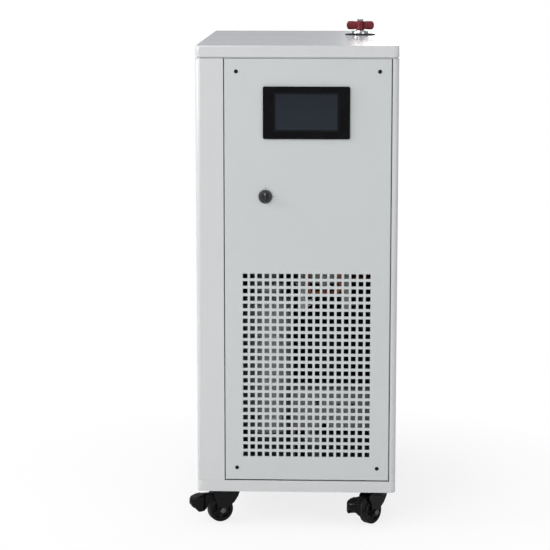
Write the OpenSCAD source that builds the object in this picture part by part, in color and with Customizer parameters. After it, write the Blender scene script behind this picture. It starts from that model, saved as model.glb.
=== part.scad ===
// Temperature control unit: a heating and cooling circulator in a sheet-steel cabinet on casters.
// Millimetres. +Z up, the front faces -Y, z = 0 is the floor, x and y = 0 are the middle of the floor plan.

/* [Cabinet] */
// Width of the cabinet
cab_w = 500; // [480:5:560]
// Depth of the cabinet from the front face to the back face
cab_d = 750; // [720:5:820]
// Height of the cabinet without its casters
cab_h = 1125; // [1100:5:1200]
// Thickness of the cabinet sheet
sheet_t = 1.5; // [1:0.25:2]
// Outer radius of the upright corners
corner_r = 12; // [8:1:14]
// Width of the front pillar on the left
pillar_w = 69; // [64:1:74]
// Width of the front strip on the right
strip_w = 15.5; // [15:0.5:20]
// Height of the base tray, which shows as the sill under the panel
sill_h = 29; // [25:1:34]

/* [Top cover] */
// Height of the cover's lip
lip_h = 28; // [24:1:34]
// Shadow groove between the lip and what is under it
groove_h = 4; // [3:0.5:5]
// How far the upstand that carries the cover is set in
groove_in = 4; // [3:0.5:6]
// Rounding of the cover's upper edge
cover_edge_r = 3; // [2:0.5:4]

/* [Front panel] */
// Gap around the removable front panel
panel_gap = 2.5; // [2:0.25:3.5]
// Depth of the panel's folded edges
return_d = 15; // [12:1:18]
// Bend radius along the panel's edges
panel_edge_r = 2; // [1:0.5:3]
// Distance of the corner screws from the panel's side edges
screw_in_x = 29; // [26:1:34]
// Distance of the corner screws from the panel's upper and lower edges
screw_in_z = 31; // [26:1:36]
// Diameter of the screw heads
screw_head_d = 10; // [8:0.5:11]
// Diameter of the screw shanks
screw_d = 5; // [4:0.5:6]

/* [Grille] */
// Side of each square air hole
hole_w = 12; // [9:0.5:13]
// Spacing of the holes across
hole_pitch_x = 18; // [17:0.25:18.25]
// Spacing of the holes up the panel
hole_pitch_z = 19; // [17:0.25:20]
// Holes in a row
hole_cols = 18; // [12:1:18]
// Rows of holes
hole_rows = 25; // [15:1:25]
// From the panel's left edge to the middle of the first column
grille_left = 50.5; // [46:0.5:54]
// From the panel's lower edge to the middle of the lowest row
grille_low = 66.5; // [56:0.5:76]

/* [Touch screen] */
// Width of the screen's bezel
bezel_w = 214; // [200:1:230]
// Height of the screen's bezel
bezel_h = 129; // [120:1:140]
// How far the bezel stands out of the panel
bezel_t = 5; // [4:0.5:7]
// Corner radius of the bezel
bezel_r = 4; // [3:0.5:8]
// From the panel's left edge to the bezel
bezel_left = 95; // [70:1:120]
// From the panel's upper edge to the bezel
bezel_drop = 67.5; // [52:0.5:90]
// Width of the display
display_w = 153; // [140:1:160]
// Height of the display
display_h = 89; // [80:1:95]
// How far the display sits above the middle of the bezel
display_up = 2; // [0:0.5:4]
// Depth of the electronics box behind the panel
screen_box_d = 34; // [28:1:40]

/* [Main switch] */
// Diameter of the switch's collar
collar_d = 34; // [30:1:40]
// How far the collar stands out of the panel
collar_t = 5; // [4:0.5:8]
// Diameter of the turning knob
knob_d = 25; // [22:1:27]
// How far the knob's grip stands out of the collar
grip_out = 11; // [8:1:16]
// From the panel's left edge to the switch
switch_left = 101; // [80:1:120]
// From the panel's upper edge to the switch
switch_drop = 339.5; // [290:0.5:380]
// Diameter of the switch's neck in the panel
neck_d = 22; // [20:0.5:24]

/* [Casters] */
// Height from the floor to the cabinet's underside
caster_h = 93; // [92:1:100]
// Radius of the wheels
wheel_r = 32; // [30:0.5:33]
// Width of the wheels
wheel_w = 24; // [22:1:26]
// How far each axle lies behind its swivel
trail = 18; // [15:1:22]
// From the cabinet's left side to the left swivels
caster_in_left = 70; // [62:1:80]
// From the cabinet's right side to the right swivels
caster_in_right = 50; // [48:1:70]
// From the front and back faces to the swivels
caster_in_y = 60; // [56:1:80]
// Direction of the left front caster, from straight left towards the front
turn_left = 25; // [0:5:60]
// Direction of the right front caster, from straight left towards the front
turn_right = 50; // [30:5:80]
// Radius of a brake pedal's round tread
lobe_r = 20; // [16:1:22]
// From the swivel to the middle of the pedal's tread
lobe_out = 78; // [72:1:84]
// How far the pedal's toe rises over its pin
toe_rise = 14; // [11:0.5:15]
// How far the pedal's skirt hangs below its pin
skirt_drop = 19; // [14:0.5:21]

/* [Filling valve] */
// Distance of the valve from the cabinet's middle
valve_x = 157; // [120:1:180]
// Distance of the valve's elbow behind the front face
valve_y = 530; // [480:5:600]
// Outer diameter of the black grommet in the cover
grommet_d = 82; // [70:1:90]
// Width across the flats of the valve body
valve_af = 32; // [28:1:36]
// Bore through the valve
valve_bore = 20; // [16:1:22]
// Span of the wing handle
handle_w = 74; // [64:1:84]
// Height of the handle's wings
handle_h = 22; // [18:1:26]

/* [Ports at the back] */
// Outer diameter of the circulation ports
port_d = 27; // [25:0.5:30]
// Bore of the circulation ports
port_bore = 19; // [15:0.5:20]
// How far the ports stand out at the back
port_out = 45; // [35:1:60]
// Distance between the two circulation ports
port_pitch = 110; // [90:5:140]
// Height of the circulation ports above the cabinet's underside
port_z = 760; // [700:10:820]

/* [Fan] */
// Diameter of the fan
fan_d = 340; // [300:10:350]
// Number of blades
fan_blades = 7; // [5:1:9]
// Height of the fan's middle above the cabinet's underside
fan_z = 262; // [240:2:290]

/* [Hidden] */

// Smoothness of the round faces
$fn = 64;
// Radial clearance of a part that turns on a pin
run_clear = 0.05;
// Clearance between pieces that pass each other
pass_clear = 0.3;
// Small overlap that makes a cut go right through
cut = 1;

// Heights of the cabinet
base_z = caster_h;
top_z = base_z + cab_h;
cover_low_z = top_z - lip_h;
body_top_z = cover_low_z - groove_h;
floor_t = 2;
floor_z = base_z + floor_t;

// Outline of the front panel
panel_x0 = -cab_w / 2 + pillar_w + panel_gap;
panel_x1 = cab_w / 2 - strip_w - panel_gap;
panel_z0 = base_z + sill_h + panel_gap;
panel_z1 = body_top_z;
panel_w = panel_x1 - panel_x0;
panel_h = panel_z1 - panel_z0;

// Places of the panel's corner screws
screw_xs = [panel_x0 + screw_in_x, panel_x1 - screw_in_x];
screw_zs = [panel_z0 + screw_in_z, panel_z1 - screw_in_z];

// The frame behind the panel: its face, thickness and the width of its members
frame_y = return_d + pass_clear;
frame_t = 2;
member_w = 42;

// Screen and switch places
bezel_x = panel_x0 + bezel_left + bezel_w / 2;
bezel_z = panel_z1 - bezel_drop - bezel_h / 2;
switch_x = panel_x0 + switch_left;
switch_z = panel_z1 - switch_drop;
screen_box_w = bezel_w - 22;
screen_box_h = bezel_h - 20;
knob_out = collar_t + grip_out;

// Casters
plate_t = 3;
swivel_x_left = -cab_w / 2 + caster_in_left;
swivel_x_right = cab_w / 2 - caster_in_right;
swivel_y_front = caster_in_y;
swivel_y_rear = cab_d - caster_in_y;
turn_rear_left = 75;
turn_rear_right = 100;
toe_r = 12;
toe_over = 1.5;
lobe_wall = 3;
arm_w = 22;
arm_t = 8;
root_drop = 9;
tread_z = 6;
arc_lap = 0.5;
rib_pitch = 8;
rib_w = 3;
rib_len = 18;

// How far the pedal reaches from its swivel in a direction that lies at the angle a from its own
function pedal_reach(a) = lobe_out * cos(a) + lobe_r;

// The floor plan's extents, measured from the cabinet's middle and from its front face
reach_left = max(cab_w / 2, pedal_reach(turn_left) - swivel_x_left);
reach_right = cab_w / 2;
reach_front = max(knob_out, pedal_reach(90 - turn_right) - swivel_y_front);
reach_rear = cab_d + port_out;
mid_x = (reach_left - reach_right) / 2;
mid_y = (reach_front - reach_rear) / 2;

// Screen, switch and screw details
glass_t = 1.2;
glass_rim = 5;
neck_len = 14;
knob_sink = 2;
knob_shaft_d = 8;
grip_t = 8;

// Shelf across the cabinet, with the passage for the pipes
shelf_z = base_z + 607;
shelf_hole_x = -100;
shelf_hole_w = 180;
shelf_hole_y = 400;
shelf_hole_d = 100;
plate_y = 170;
rail_t = 7.5;
rail_heights = [100, 260];

// Pump stand and compressor
stand_x = -8;
stand_w = 248;
stand_y = 62;
stand_d = 280;
stand_z = base_z + 252;
apron_h = 105;
apron_hole_d = 13;
apron_holes = [[59, 30], [60, 44], [113, 44], [149, 44], [77, 96]];
comp_d = 196;
comp_h = 190;
comp_x = 87;
comp_y = 205;
mount_h = 10;
stub_out = 45;
stub_back = 40;
comp_top_z = stand_z + mount_h + comp_h;

// Hanger and filter drier
bracket_y = 66;
bracket_legs = [14, 123];
bracket_low_z = base_z + 455;
band_z = base_z + 525;
band_h = 27;
drier_x = 70;
drier_z = base_z + 504;
drier_d = 22;
drier_len = 50;
drier_y = bracket_y - drier_d / 2 - pass_clear;

// Condenser, fan and motor
coil_w = 400;
coil_h = 420;
coil_d = 60;
coil_y = 560;
coil_z = base_z + fan_z - coil_h / 2;
coil_tubes = 8;
tube_out = 8;
shroud_y = coil_y + coil_d;
duct_len = 50;
fan_gap = 6;
fan_in = 8;
fan_pitch = 20;
motor_d = 92;
motor_len = 44;
shaft_d = 12;

// Vessel and heat exchanger
vessel_d = 124;
vessel_x = -76;
vessel_y = 140;
vessel_h = 430;
skirt_h = 60;
neck_r = 34;
stub_len = 6;
stub_d = 28;
phe_x = -215;
phe_y = 250;
phe_w = 110;
phe_d = 72;
phe_h = 300;
phe_foot = 40;
phe_port = 18;
phe_port_in = 20;
phe_port_up = 24;

// Pump
pump_d = 110;
pump_x = 60;
pump_y = 230;
pump_z = floor_z + 75;
pump_len = 140;
volute_len = 40;

// Expansion tank under the filling valve
tank_w = 170;
tank_d = 200;
tank_neck = 12;
cover_hole_d = 60;
grommet_t = 3;
neck_out = 12;
valve_drop = 60;
riser_len = 66;
tank_h = top_z - valve_drop - riser_len - tank_neck - shelf_z;
stem_d = 10;
valve_neck_d = 46;
vessel_low_z = pump_z + pump_d / 2 + 75;
vessel_high_z = floor_z + skirt_h + vessel_h - 50;
delivery_h = pump_d / 2 + 20;
rise_y = shelf_hole_y + shelf_hole_d / 2;
feed_y = rise_y + 30;
feed_z = shelf_z + 40;
hub_top = 37;

// Back of the cabinet
outlet_rows = 20;
outlet_pitch = 16;
vent_rows = 5;
port_x = -70;
port_in = 15;
port_end_y = cab_d - port_in;
drain_x = -200;
drain_z = base_z + 60;
drain_d = 21;
gland_x = 200;
gland_z = base_z + 60;
gland_d = 20;
gland_bore = 12;

// Caster details
bolt_d = 8;
bolt_pitch_x = 58;
bolt_pitch_y = 50;
race_h = 4;
head_z = caster_h - plate_t - race_h - pass_clear;
head_h = 11;
fork_low_z = head_z - head_h;
kingpin_d = 12;
cheek_in = wheel_w / 2 + 1.5;
cheek_t = 4;
axle_d = 8;
pivot_u = 34;
pivot_z = fork_low_z - 3;
pivot_d = 5;
caster_places = [
    [swivel_x_left, swivel_y_front, turn_left],
    [swivel_x_right, swivel_y_front, turn_right],
    [swivel_x_left, swivel_y_rear, turn_rear_left],
    [swivel_x_right, swivel_y_rear, turn_rear_right]
];

// Colours
cabinet_colour = [0.80, 0.81, 0.81];
black = [0.09, 0.09, 0.10];
dark_grey = [0.30, 0.31, 0.32];
steel = [0.72, 0.73, 0.75];
chrome = [0.85, 0.86, 0.88];
copper = [0.72, 0.40, 0.25];
red = [0.55, 0.05, 0.10];
motor_grey = [0.50, 0.52, 0.55];

// Puts a piece drawn in the cabinet's own place, front face at y = 0, into the part's frame
module cab() {
    translate([mid_x, mid_y, 0]) children();
}

// Flat shapes and plain helpers

// A rectangle around the origin with four round corners
module soft_rect(w, h, r) {
    square([w - 2 * r, h], center = true);
    square([w, h - 2 * r], center = true);
    for (sx = [-1, 1], sy = [-1, 1])
        translate([sx * (w / 2 - r), sy * (h / 2 - r)]) circle(r);
}

// A plate that stands upright: w along x, h along z, t along y from y = 0 backwards
module upright(t) {
    translate([0, t, 0]) rotate([90, 0, 0]) linear_extrude(t) children();
}

// A round bar along y, from y = 0 backwards
module bar_y(d, len) {
    rotate([-90, 0, 0]) cylinder(d = d, h = len);
}

// A hexagon nut along y, from y = 0 backwards, with the width d over its corners
module nut_y(d, len) {
    rotate([-90, 0, 0]) cylinder(d = d, h = len, $fn = 6);
}

// A round bar along x, around the origin
module bar_x(d, len) {
    rotate([0, 90, 0]) cylinder(d = d, h = len, center = true);
}

// One leg of a pipe between two points
module pipe_leg(a, b, r) {
    v = b - a;
    len = norm(v);
    w = v / len;
    side = abs(w.z) > 0.9 ? [1, 0, 0] : cross([0, 0, 1], w);
    other = cross(w, side);
    multmatrix([
        [side.x, other.x, w.x, a.x],
        [side.y, other.y, w.y, a.y],
        [side.z, other.z, w.z, a.z],
        [0, 0, 0, 1]
    ]) cylinder(r = r, h = len);
}

// A quarter bend at the corner p, from direction u into direction v
module pipe_bend(p, u, v, r, bend) {
    c = p - u * bend + v * bend;
    n = cross(u, v);
    multmatrix([
        [-v.x, u.x, n.x, c.x],
        [-v.y, u.y, n.y, c.y],
        [-v.z, u.z, n.z, c.z],
        [0, 0, 0, 1]
    ]) rotate_extrude(angle = 90) translate([bend, 0]) circle(r);
}

// A pipe through square corners
module pipe(points, r, bend) {
    last = len(points) - 1;
    for (i = [0 : last - 1]) {
        u = (points[i + 1] - points[i]) / norm(points[i + 1] - points[i]);
        a = i == 0 ? points[i] : points[i] + u * bend;
        b = i == last - 1 ? points[i + 1] : points[i + 1] - u * bend;
        pipe_leg(a, b, r);
        if (i < last - 1) {
            v = (points[i + 2] - points[i + 1]) / norm(points[i + 2] - points[i + 1]);
            pipe_bend(points[i + 1], u, v, r, bend);
        }
    }
}

// Cabinet sheet work

// Folded side panel seen from above: side wall, round corner, front face, return and rear flange
module side_profile(face_w) {
    rear_flange = 28;
    translate([0, corner_r]) square([sheet_t, cab_d - corner_r]);
    translate([corner_r, 0]) square([face_w - corner_r, sheet_t]);
    translate([corner_r, corner_r]) difference() {
        intersection() {
            circle(corner_r);
            translate([-corner_r, -corner_r]) square(corner_r);
        }
        circle(corner_r - sheet_t);
    }
    translate([face_w - sheet_t, 0]) square([sheet_t, frame_y + frame_t]);
    translate([0, cab_d - 2 * sheet_t]) square([rear_flange, sheet_t]);
}

// The side panel's share of a ring that runs round the cabinet between two insets
module ring_share(outer, inner, face_w) {
    intersection() {
        difference() {
            plan(outer);
            plan(inner);
        }
        translate([-cab_w / 2, 0]) square([face_w, cab_d - 2 * sheet_t]);
    }
}

// Side panel with its flange and the upstand that carries the cover
module side_panel(face_w) {
    low_z = base_z + sill_h;
    translate([-cab_w / 2, 0, low_z]) linear_extrude(body_top_z - low_z) side_profile(face_w);
    translate([0, 0, body_top_z - sheet_t]) linear_extrude(sheet_t)
        ring_share(sheet_t, groove_in + sheet_t, face_w);
    translate([0, 0, body_top_z - sheet_t]) linear_extrude(top_z - body_top_z)
        ring_share(groove_in, groove_in + sheet_t, face_w);
}

module left_side_panel() {
    color(cabinet_colour) cab() side_panel(pillar_w);
}

module right_side_panel() {
    color(cabinet_colour) cab() mirror([1, 0, 0]) side_panel(strip_w);
}

// Places of the four panel screws, on the panel's plane
module panel_screw_places() {
    for (x = screw_xs, z = screw_zs)
        translate([x, z]) children();
}

module bolt_places() {
    for (x = [-1, 1], y = [-1, 1])
        translate([x * bolt_pitch_x / 2, y * bolt_pitch_y / 2, 0]) children();
}

// Outline of the cabinet seen from above, drawn in by the inset, with round front corners
module plan(inset) {
    r = corner_r - inset;
    w = cab_w - 2 * inset;
    d = cab_d - 2 * inset;
    translate([-w / 2, inset + r]) square([w, d - r]);
    translate([-w / 2 + r, inset]) square([w - 2 * r, r]);
    for (sx = [-1, 1])
        translate([sx * (w / 2 - r), inset + r]) circle(r);
}

// Tray with upturned edges and bolt holes over the casters
module base_tray() {
    color(cabinet_colour) cab() difference() {
        translate([0, 0, base_z]) linear_extrude(sill_h) plan(0);
        translate([0, 0, floor_z]) linear_extrude(sill_h) plan(floor_t);
        for (p = caster_places)
            translate([p.x, p.y, base_z - cut]) bolt_places()
                cylinder(d = bolt_d + 2 * run_clear, h = floor_t + 2 * cut);
    }
}

// Frame behind the front panel, with the head rail that closes the gap under the cover
module front_frame() {
    frame_x0 = -cab_w / 2 + pillar_w;
    frame_x1 = cab_w / 2 - strip_w;
    frame_z0 = base_z + sill_h;
    frame_w = frame_x1 - frame_x0;
    frame_h = panel_z1 - frame_z0;
    rail_y = groove_in;
    color(cabinet_colour) cab() {
        translate([0, frame_y, 0]) upright(frame_t) difference() {
            translate([frame_x0, frame_z0]) square([frame_w, frame_h + pass_clear + sheet_t]);
            translate([frame_x0 + member_w, frame_z0 + member_w])
                square([frame_w - 2 * member_w, frame_h - 2 * member_w]);
            panel_screw_places() circle(d = screw_d + 2 * run_clear);
        }
        translate([frame_x0, rail_y, panel_z1 + pass_clear])
            cube([frame_w, frame_y - rail_y, sheet_t]);
        translate([frame_x0, rail_y, panel_z1 + pass_clear])
            cube([frame_w, sheet_t, top_z - sheet_t - panel_z1 - pass_clear]);
    }
}

// Flat back panel with the fan's outlet slots, vent slots and the port holes
module rear_panel() {
    w = cab_w - 2 * sheet_t - 2 * pass_clear;
    z0 = base_z + sill_h + pass_clear;
    slot_w = 74;
    slot_h = 9;
    color(cabinet_colour) cab() translate([0, cab_d - sheet_t, 0]) upright(sheet_t) difference() {
        translate([-w / 2, z0]) square([w, body_top_z - pass_clear - z0]);
        for (i = [-1.5 : 1.5], k = [-outlet_rows / 2 + 0.5 : outlet_rows / 2 - 0.5])
            translate([i * (slot_w + 10), base_z + fan_z + k * outlet_pitch])
                square([slot_w, slot_h], center = true);
        for (i = [-1 : 1], k = [0 : vent_rows - 1])
            translate([i * 130, body_top_z - 70 - k * outlet_pitch])
                square([100, slot_h], center = true);
        for (sx = [-1, 1])
            translate([port_x + sx * port_pitch / 2, base_z + port_z]) circle(d = port_d + 2 * pass_clear);
        translate([drain_x, drain_z]) circle(d = drain_d + 2 * pass_clear);
        translate([gland_x, gland_z]) circle(d = gland_d + 2 * pass_clear);
    }
}

// The cover's rounded block, before it is hollowed
module cover_block() {
    intersection() {
        translate([0, 0, cover_low_z]) linear_extrude(lip_h) plan(0);
        rotate([90, 0, 0]) translate([0, 0, -cab_d]) linear_extrude(cab_d)
            capped_profile(-cab_w / 2, cab_w / 2);
        rotate([90, 0, 90]) translate([0, 0, -cab_w / 2]) linear_extrude(cab_w)
            capped_profile(0, cab_d);
    }
}

// A band between a and b whose two upper corners are round
module capped_profile(a, b) {
    r = cover_edge_r;
    translate([a, cover_low_z]) square([b - a, lip_h - r]);
    translate([a + r, cover_low_z]) square([b - a - 2 * r, lip_h]);
    for (x = [a + r, b - r])
        translate([x, top_z - r]) circle(r);
}

// Cover with a lip all round and the hole of the filling valve
module top_cover() {
    color(cabinet_colour) cab() difference() {
        cover_block();
        translate([0, 0, cover_low_z - cut]) linear_extrude(lip_h - sheet_t + cut) plan(sheet_t);
        translate([valve_x, valve_y, cover_low_z]) cylinder(d = cover_hole_d, h = lip_h + cut);
    }
}

// Front panel: a folded tray of sheet with the grille, the screen's opening and the switch hole
module panel_block() {
    r = panel_edge_r;
    intersection() {
        translate([0, 0, panel_z0]) linear_extrude(panel_h) front_rounded(panel_x0, panel_x1, r);
        rotate([0, -90, 0]) translate([0, 0, -panel_x1]) linear_extrude(panel_w)
            front_rounded(panel_z0, panel_z1, r);
    }
}

// A band from a to b, as deep as the panel's folded edge, with two round corners at y = 0
module front_rounded(a, b, r) {
    translate([a, r]) square([b - a, return_d - r]);
    translate([a + r, 0]) square([b - a - 2 * r, r]);
    for (x = [a + r, b - r])
        translate([x, r]) circle(r);
}

module grille_holes() {
    for (i = [0 : hole_cols - 1], k = [0 : hole_rows - 1])
        translate([panel_x0 + grille_left + i * hole_pitch_x,
                   panel_z0 + grille_low + k * hole_pitch_z])
            square(hole_w, center = true);
}

module front_panel() {
    t = sheet_t;
    color(cabinet_colour) cab() difference() {
        panel_block();
        translate([panel_x0 + t, t, panel_z0 + t]) cube([panel_w - 2 * t, return_d, panel_h - 2 * t]);
        translate([0, -cut, 0]) upright(t + 2 * cut) {
            grille_holes();
            panel_screw_places() circle(d = screw_d + 2 * pass_clear);
            translate([bezel_x, bezel_z])
                square([screen_box_w + 2 * pass_clear, screen_box_h + 2 * pass_clear], center = true);
            translate([switch_x, switch_z]) circle(d = neck_d + 2 * pass_clear);
        }
    }
}

// Round-headed screws that hold the panel to the frame behind it
module front_panel_screws() {
    head_h = 2.8;
    shank = frame_y + frame_t + 4;
    color(dark_grey) cab()
        for (x = screw_xs, z = screw_zs)
            translate([x, 0, z]) difference() {
                rotate([-90, 0, 0]) union() {
                    cylinder(d = screw_d, h = shank);
                    intersection() {
                        translate([0, 0, -head_h]) cylinder(d = screw_head_d, h = head_h);
                        translate([0, 0, dome_r(screw_head_d, head_h) - head_h])
                            sphere(dome_r(screw_head_d, head_h));
                    }
                }
                for (a = [0, 90])
                    rotate([0, a, 0]) translate([-screw_head_d / 4, -head_h - cut, -0.6])
                        cube([screw_head_d / 2, cut + 1.4, 1.2]);
            }
}

// Radius of the sphere whose cap has the diameter d and the height h
function dome_r(d, h) = (d * d / 4 + h * h) / (2 * h);

// Touch screen

module touchscreen_bezel() {
    edge = 0.8;
    color(black) cab() translate([bezel_x, -bezel_t, bezel_z]) difference() {
        union() {
            translate([0, edge, 0]) upright(bezel_t - edge) soft_rect(bezel_w, bezel_h, bezel_r);
            upright(edge) soft_rect(bezel_w - 2 * edge, bezel_h - 2 * edge, bezel_r - edge);
        }
        translate([0, -cut, display_up]) upright(glass_t + pass_clear + cut)
            soft_rect(display_w + 2 * glass_rim, display_h + 2 * glass_rim, 2);
    }
}

module touchscreen_glass() {
    color([0.17, 0.19, 0.21]) cab() translate([bezel_x, -bezel_t + pass_clear, bezel_z + display_up])
        upright(glass_t)
            soft_rect(display_w + 2 * (glass_rim - pass_clear), display_h + 2 * (glass_rim - pass_clear), 2);
}

// Electronics box behind the panel, with vent slots, a connector block and clamping ears
module touchscreen_housing() {
    slots = 9;
    ear = 14;
    color(dark_grey) cab() translate([bezel_x, 0, bezel_z]) {
        difference() {
            upright(screen_box_d) square([screen_box_w, screen_box_h], center = true);
            for (i = [0 : slots - 1])
                translate([(i - (slots - 1) / 2) * 16, screen_box_d - 3, 18]) upright(4)
                    square([6, 44], center = true);
        }
        translate([-30, screen_box_d, -screen_box_h / 2 + 6]) cube([70, 10, 16]);
        for (sx = [-1, 1], sz = [-1, 1])
            translate([sx * (screen_box_w / 4), sheet_t + pass_clear, sz * (screen_box_h / 2 + ear / 2)])
                upright(10) square([12, ear], center = true);
    }
}

// Main switch

module switch_collar() {
    edge = 1;
    color(dark_grey) cab() translate([switch_x, 0, switch_z]) rotate([-90, 0, 0]) difference() {
        rotate_extrude() polygon([
            [0, -collar_t], [collar_d / 2 - edge, -collar_t], [collar_d / 2, -collar_t + edge],
            [collar_d / 2, 0], [neck_d / 2, 0], [neck_d / 2, neck_len], [0, neck_len]
        ]);
        translate([0, 0, -collar_t - cut]) cylinder(d = knob_d + 2 * pass_clear, h = knob_sink + cut);
        translate([0, 0, -collar_t - cut])
            cylinder(d = knob_shaft_d + 2 * run_clear, h = neck_len + collar_t + 2 * cut);
    }
}

module switch_knob() {
    color(black) cab() translate([switch_x, 0, switch_z]) {
        translate([0, -collar_t + knob_sink - pass_clear, 0]) rotate([90, 0, 0])
            cylinder(d = knob_d, h = knob_sink);
        translate([0, -collar_t + knob_sink - pass_clear, 0]) bar_y(knob_shaft_d, neck_len);
        intersection() {
            translate([-grip_t / 2, -knob_out, -knob_d / 2])
                cube([grip_t, knob_out - collar_t, knob_d]);
            translate([0, -knob_out, 0]) bar_y(knob_d, knob_out);
        }
    }
}

// Contact block behind the panel, with its ring nut
module switch_body() {
    block = 30;
    color(black) cab() translate([switch_x, 0, switch_z]) {
        translate([0, sheet_t, 0]) difference() {
            bar_y(neck_d + 8, 5);
            translate([0, -cut, 0]) bar_y(neck_d + 2 * pass_clear, 5 + 2 * cut);
        }
        difference() {
            translate([-block / 2, sheet_t + 5, -block / 2]) cube([block, 42, block]);
            bar_y(neck_d + 2 * pass_clear, neck_len + pass_clear);
            for (sz = [-1, 1])
                translate([-block / 2 - cut, 30, sz * 8 - 1.5]) cube([block + 2 * cut, 30, 3]);
        }
    }
}

// Shelves and plates inside

module equipment_shelf() {
    gap = pass_clear;
    w = cab_w - 2 * sheet_t - 2 * gap;
    y0 = frame_y + frame_t + gap;
    y1 = cab_d - 2 * sheet_t - gap;
    lip = 25;
    color(steel) cab() difference() {
        translate([-w / 2, y0, shelf_z - lip]) cube([w, y1 - y0, lip]);
        translate([-w / 2 + sheet_t, y0 + sheet_t, shelf_z - lip - cut])
            cube([w - 2 * sheet_t, y1 - y0 - 2 * sheet_t, lip - sheet_t + cut]);
        // Passage for the pipes
        translate([shelf_hole_x - shelf_hole_w / 2, shelf_hole_y, shelf_z - lip - cut])
            cube([shelf_hole_w, shelf_hole_d, lip + 2 * cut]);
    }
}

// Upright mounting plate on the shelf, with its foot and two rails
module control_plate() {
    w = 430;
    h = 350;
    color(steel) cab() translate([-w / 2, plate_y, shelf_z]) {
        cube([w, sheet_t, h]);
        cube([w, 25, sheet_t]);
        for (z = rail_heights)
            translate([20, -rail_t, z - 17.5]) cube([w - 40, rail_t, 35]);
    }
}

module contactors() {
    w = 45;
    h = 80;
    d = 70;
    color([0.85, 0.85, 0.82]) cab()
        for (i = [0 : 2])
            translate([-190 + i * 52, plate_y - rail_t - d, shelf_z + rail_heights[0] - h / 2]) difference() {
                cube([w, d, h]);
                for (z = [0, h - 18])
                    translate([-cut, -cut, z == 0 ? -cut : z]) cube([w + 2 * cut, 22, 18 + cut]);
                translate([12, -cut, 30]) cube([w - 24, 4, 20]);
            }
}

module circuit_breaker() {
    w = 72;
    h = 84;
    d = 60;
    color([0.88, 0.88, 0.86]) cab()
        translate([20, plate_y - rail_t - d, shelf_z + rail_heights[0] - h / 2]) {
            difference() {
                cube([w, d, h]);
                for (z = [-cut, h - 20])
                    translate([-cut, -cut, z]) cube([w + 2 * cut, 17, 20 + cut]);
                for (i = [1 : 3])
                    translate([i * w / 4 - 0.5, -cut, -cut]) cube([1, 3, h + 2 * cut]);
            }
            translate([6, -7, h / 2 - 5]) cube([w - 12, 7, 10]);
        }
}

// Stand over the pump that carries the compressor, with a holed apron at the front
module compressor_stand() {
    t = 2.5;
    foot_w = 36;
    foot_start = 52;
    color(cabinet_colour) cab() translate([stand_x, stand_y, 0]) difference() {
        union() {
            translate([0, 0, stand_z - t]) cube([stand_w, stand_d, t]);
            translate([0, 0, stand_z - apron_h]) cube([stand_w, t, apron_h]);
            for (x = [0, stand_w - t])
                translate([x, 0, floor_z]) cube([t, stand_d, stand_z - floor_z]);
            for (x = [0, stand_w - foot_w])
                translate([x, foot_start, floor_z]) cube([foot_w, stand_d - foot_start, t]);
        }
        // Round holes in the apron, and windows in the side legs
        for (h = apron_holes)
            translate([h.x, -cut, stand_z - h.y]) bar_y(apron_hole_d, t + 2 * cut);
        translate([-cut, 40, floor_z + 35]) cube([stand_w + 2 * cut, stand_d - 80, stand_z - floor_z - 60]);
    }
}

// Hermetic compressor: a pressed pot with a seam, a domed lid, three feet and a terminal cover
module compressor() {
    r = comp_d / 2;
    seam_z = comp_h * 0.52;
    color(black) cab() translate([comp_x, comp_y, stand_z + mount_h]) {
        rotate_extrude() intersection() {
            union() {
                translate([0, 14]) square([r, comp_h - 14 - r * 0.45]);
                translate([0, comp_h - r * 0.45]) scaled_cap(r, r * 0.45);
                translate([0, 14]) mirror([0, 1]) scaled_cap(r, 12);
                translate([0, seam_z - 4]) square([r + 4, 8]);
            }
            square([r + 10, comp_h + 10]);
        }
        // Foot plate
        difference() {
            linear_extrude(3) soft_rect(comp_d, comp_d * 0.86, 14);
            comp_foot_places() translate([0, 0, -cut]) cylinder(d = 12 + 2 * pass_clear, h = 3 + 2 * cut);
        }
        cylinder(d = comp_d * 0.7, h = 14);
        // Suction and discharge stubs
        for (sx = [-1, 1])
            translate([sx * stub_out, stub_back, comp_h - 50]) cylinder(r = 8, h = 50);
        // Terminal cover
        translate([-30, -r - 14, comp_h * 0.35 - 26]) cube([60, 40, 52]);
    }
}

// An arc profile in the first quadrant: radius r across, height h
module scaled_cap(r, h) {
    big = (r * r + h * h) / (2 * h);
    intersection() {
        translate([0, h - big]) circle(big);
        square([r, h]);
    }
}

module comp_foot_places() {
    for (x = [-1, 1], y = [-1, 1])
        translate([x * (comp_d / 2 - 14), y * (comp_d * 0.43 - 14), 0]) children();
}

// Rubber mounts between the compressor's foot plate and the stand
module compressor_mounts() {
    color(black) cab() translate([comp_x, comp_y, stand_z]) comp_foot_places() {
        cylinder(d = 22, h = mount_h);
        cylinder(d = 12, h = mount_h + 10);
    }
}

// Folded hanger under the shelf that carries the filter drier
module support_bracket() {
    t = 2;
    leg_w = 14;
    color(cabinet_colour) cab() translate([0, bracket_y, 0]) {
        for (x = bracket_legs)
            translate([x - leg_w / 2, 0, bracket_low_z]) cube([leg_w, t, shelf_z - sheet_t - bracket_low_z]);
        translate([bracket_legs[0] - leg_w / 2, 0, band_z])
            cube([bracket_legs[1] - bracket_legs[0] + leg_w, t, band_h]);
        translate([bracket_legs[0] - leg_w / 2, 0, shelf_z - sheet_t - t])
            cube([bracket_legs[1] - bracket_legs[0] + leg_w, 22, t]);
        translate([drier_x - 8, 0, drier_z - drier_d / 2]) cube([16, t, band_z - drier_z + drier_d / 2]);
    }
}

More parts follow.
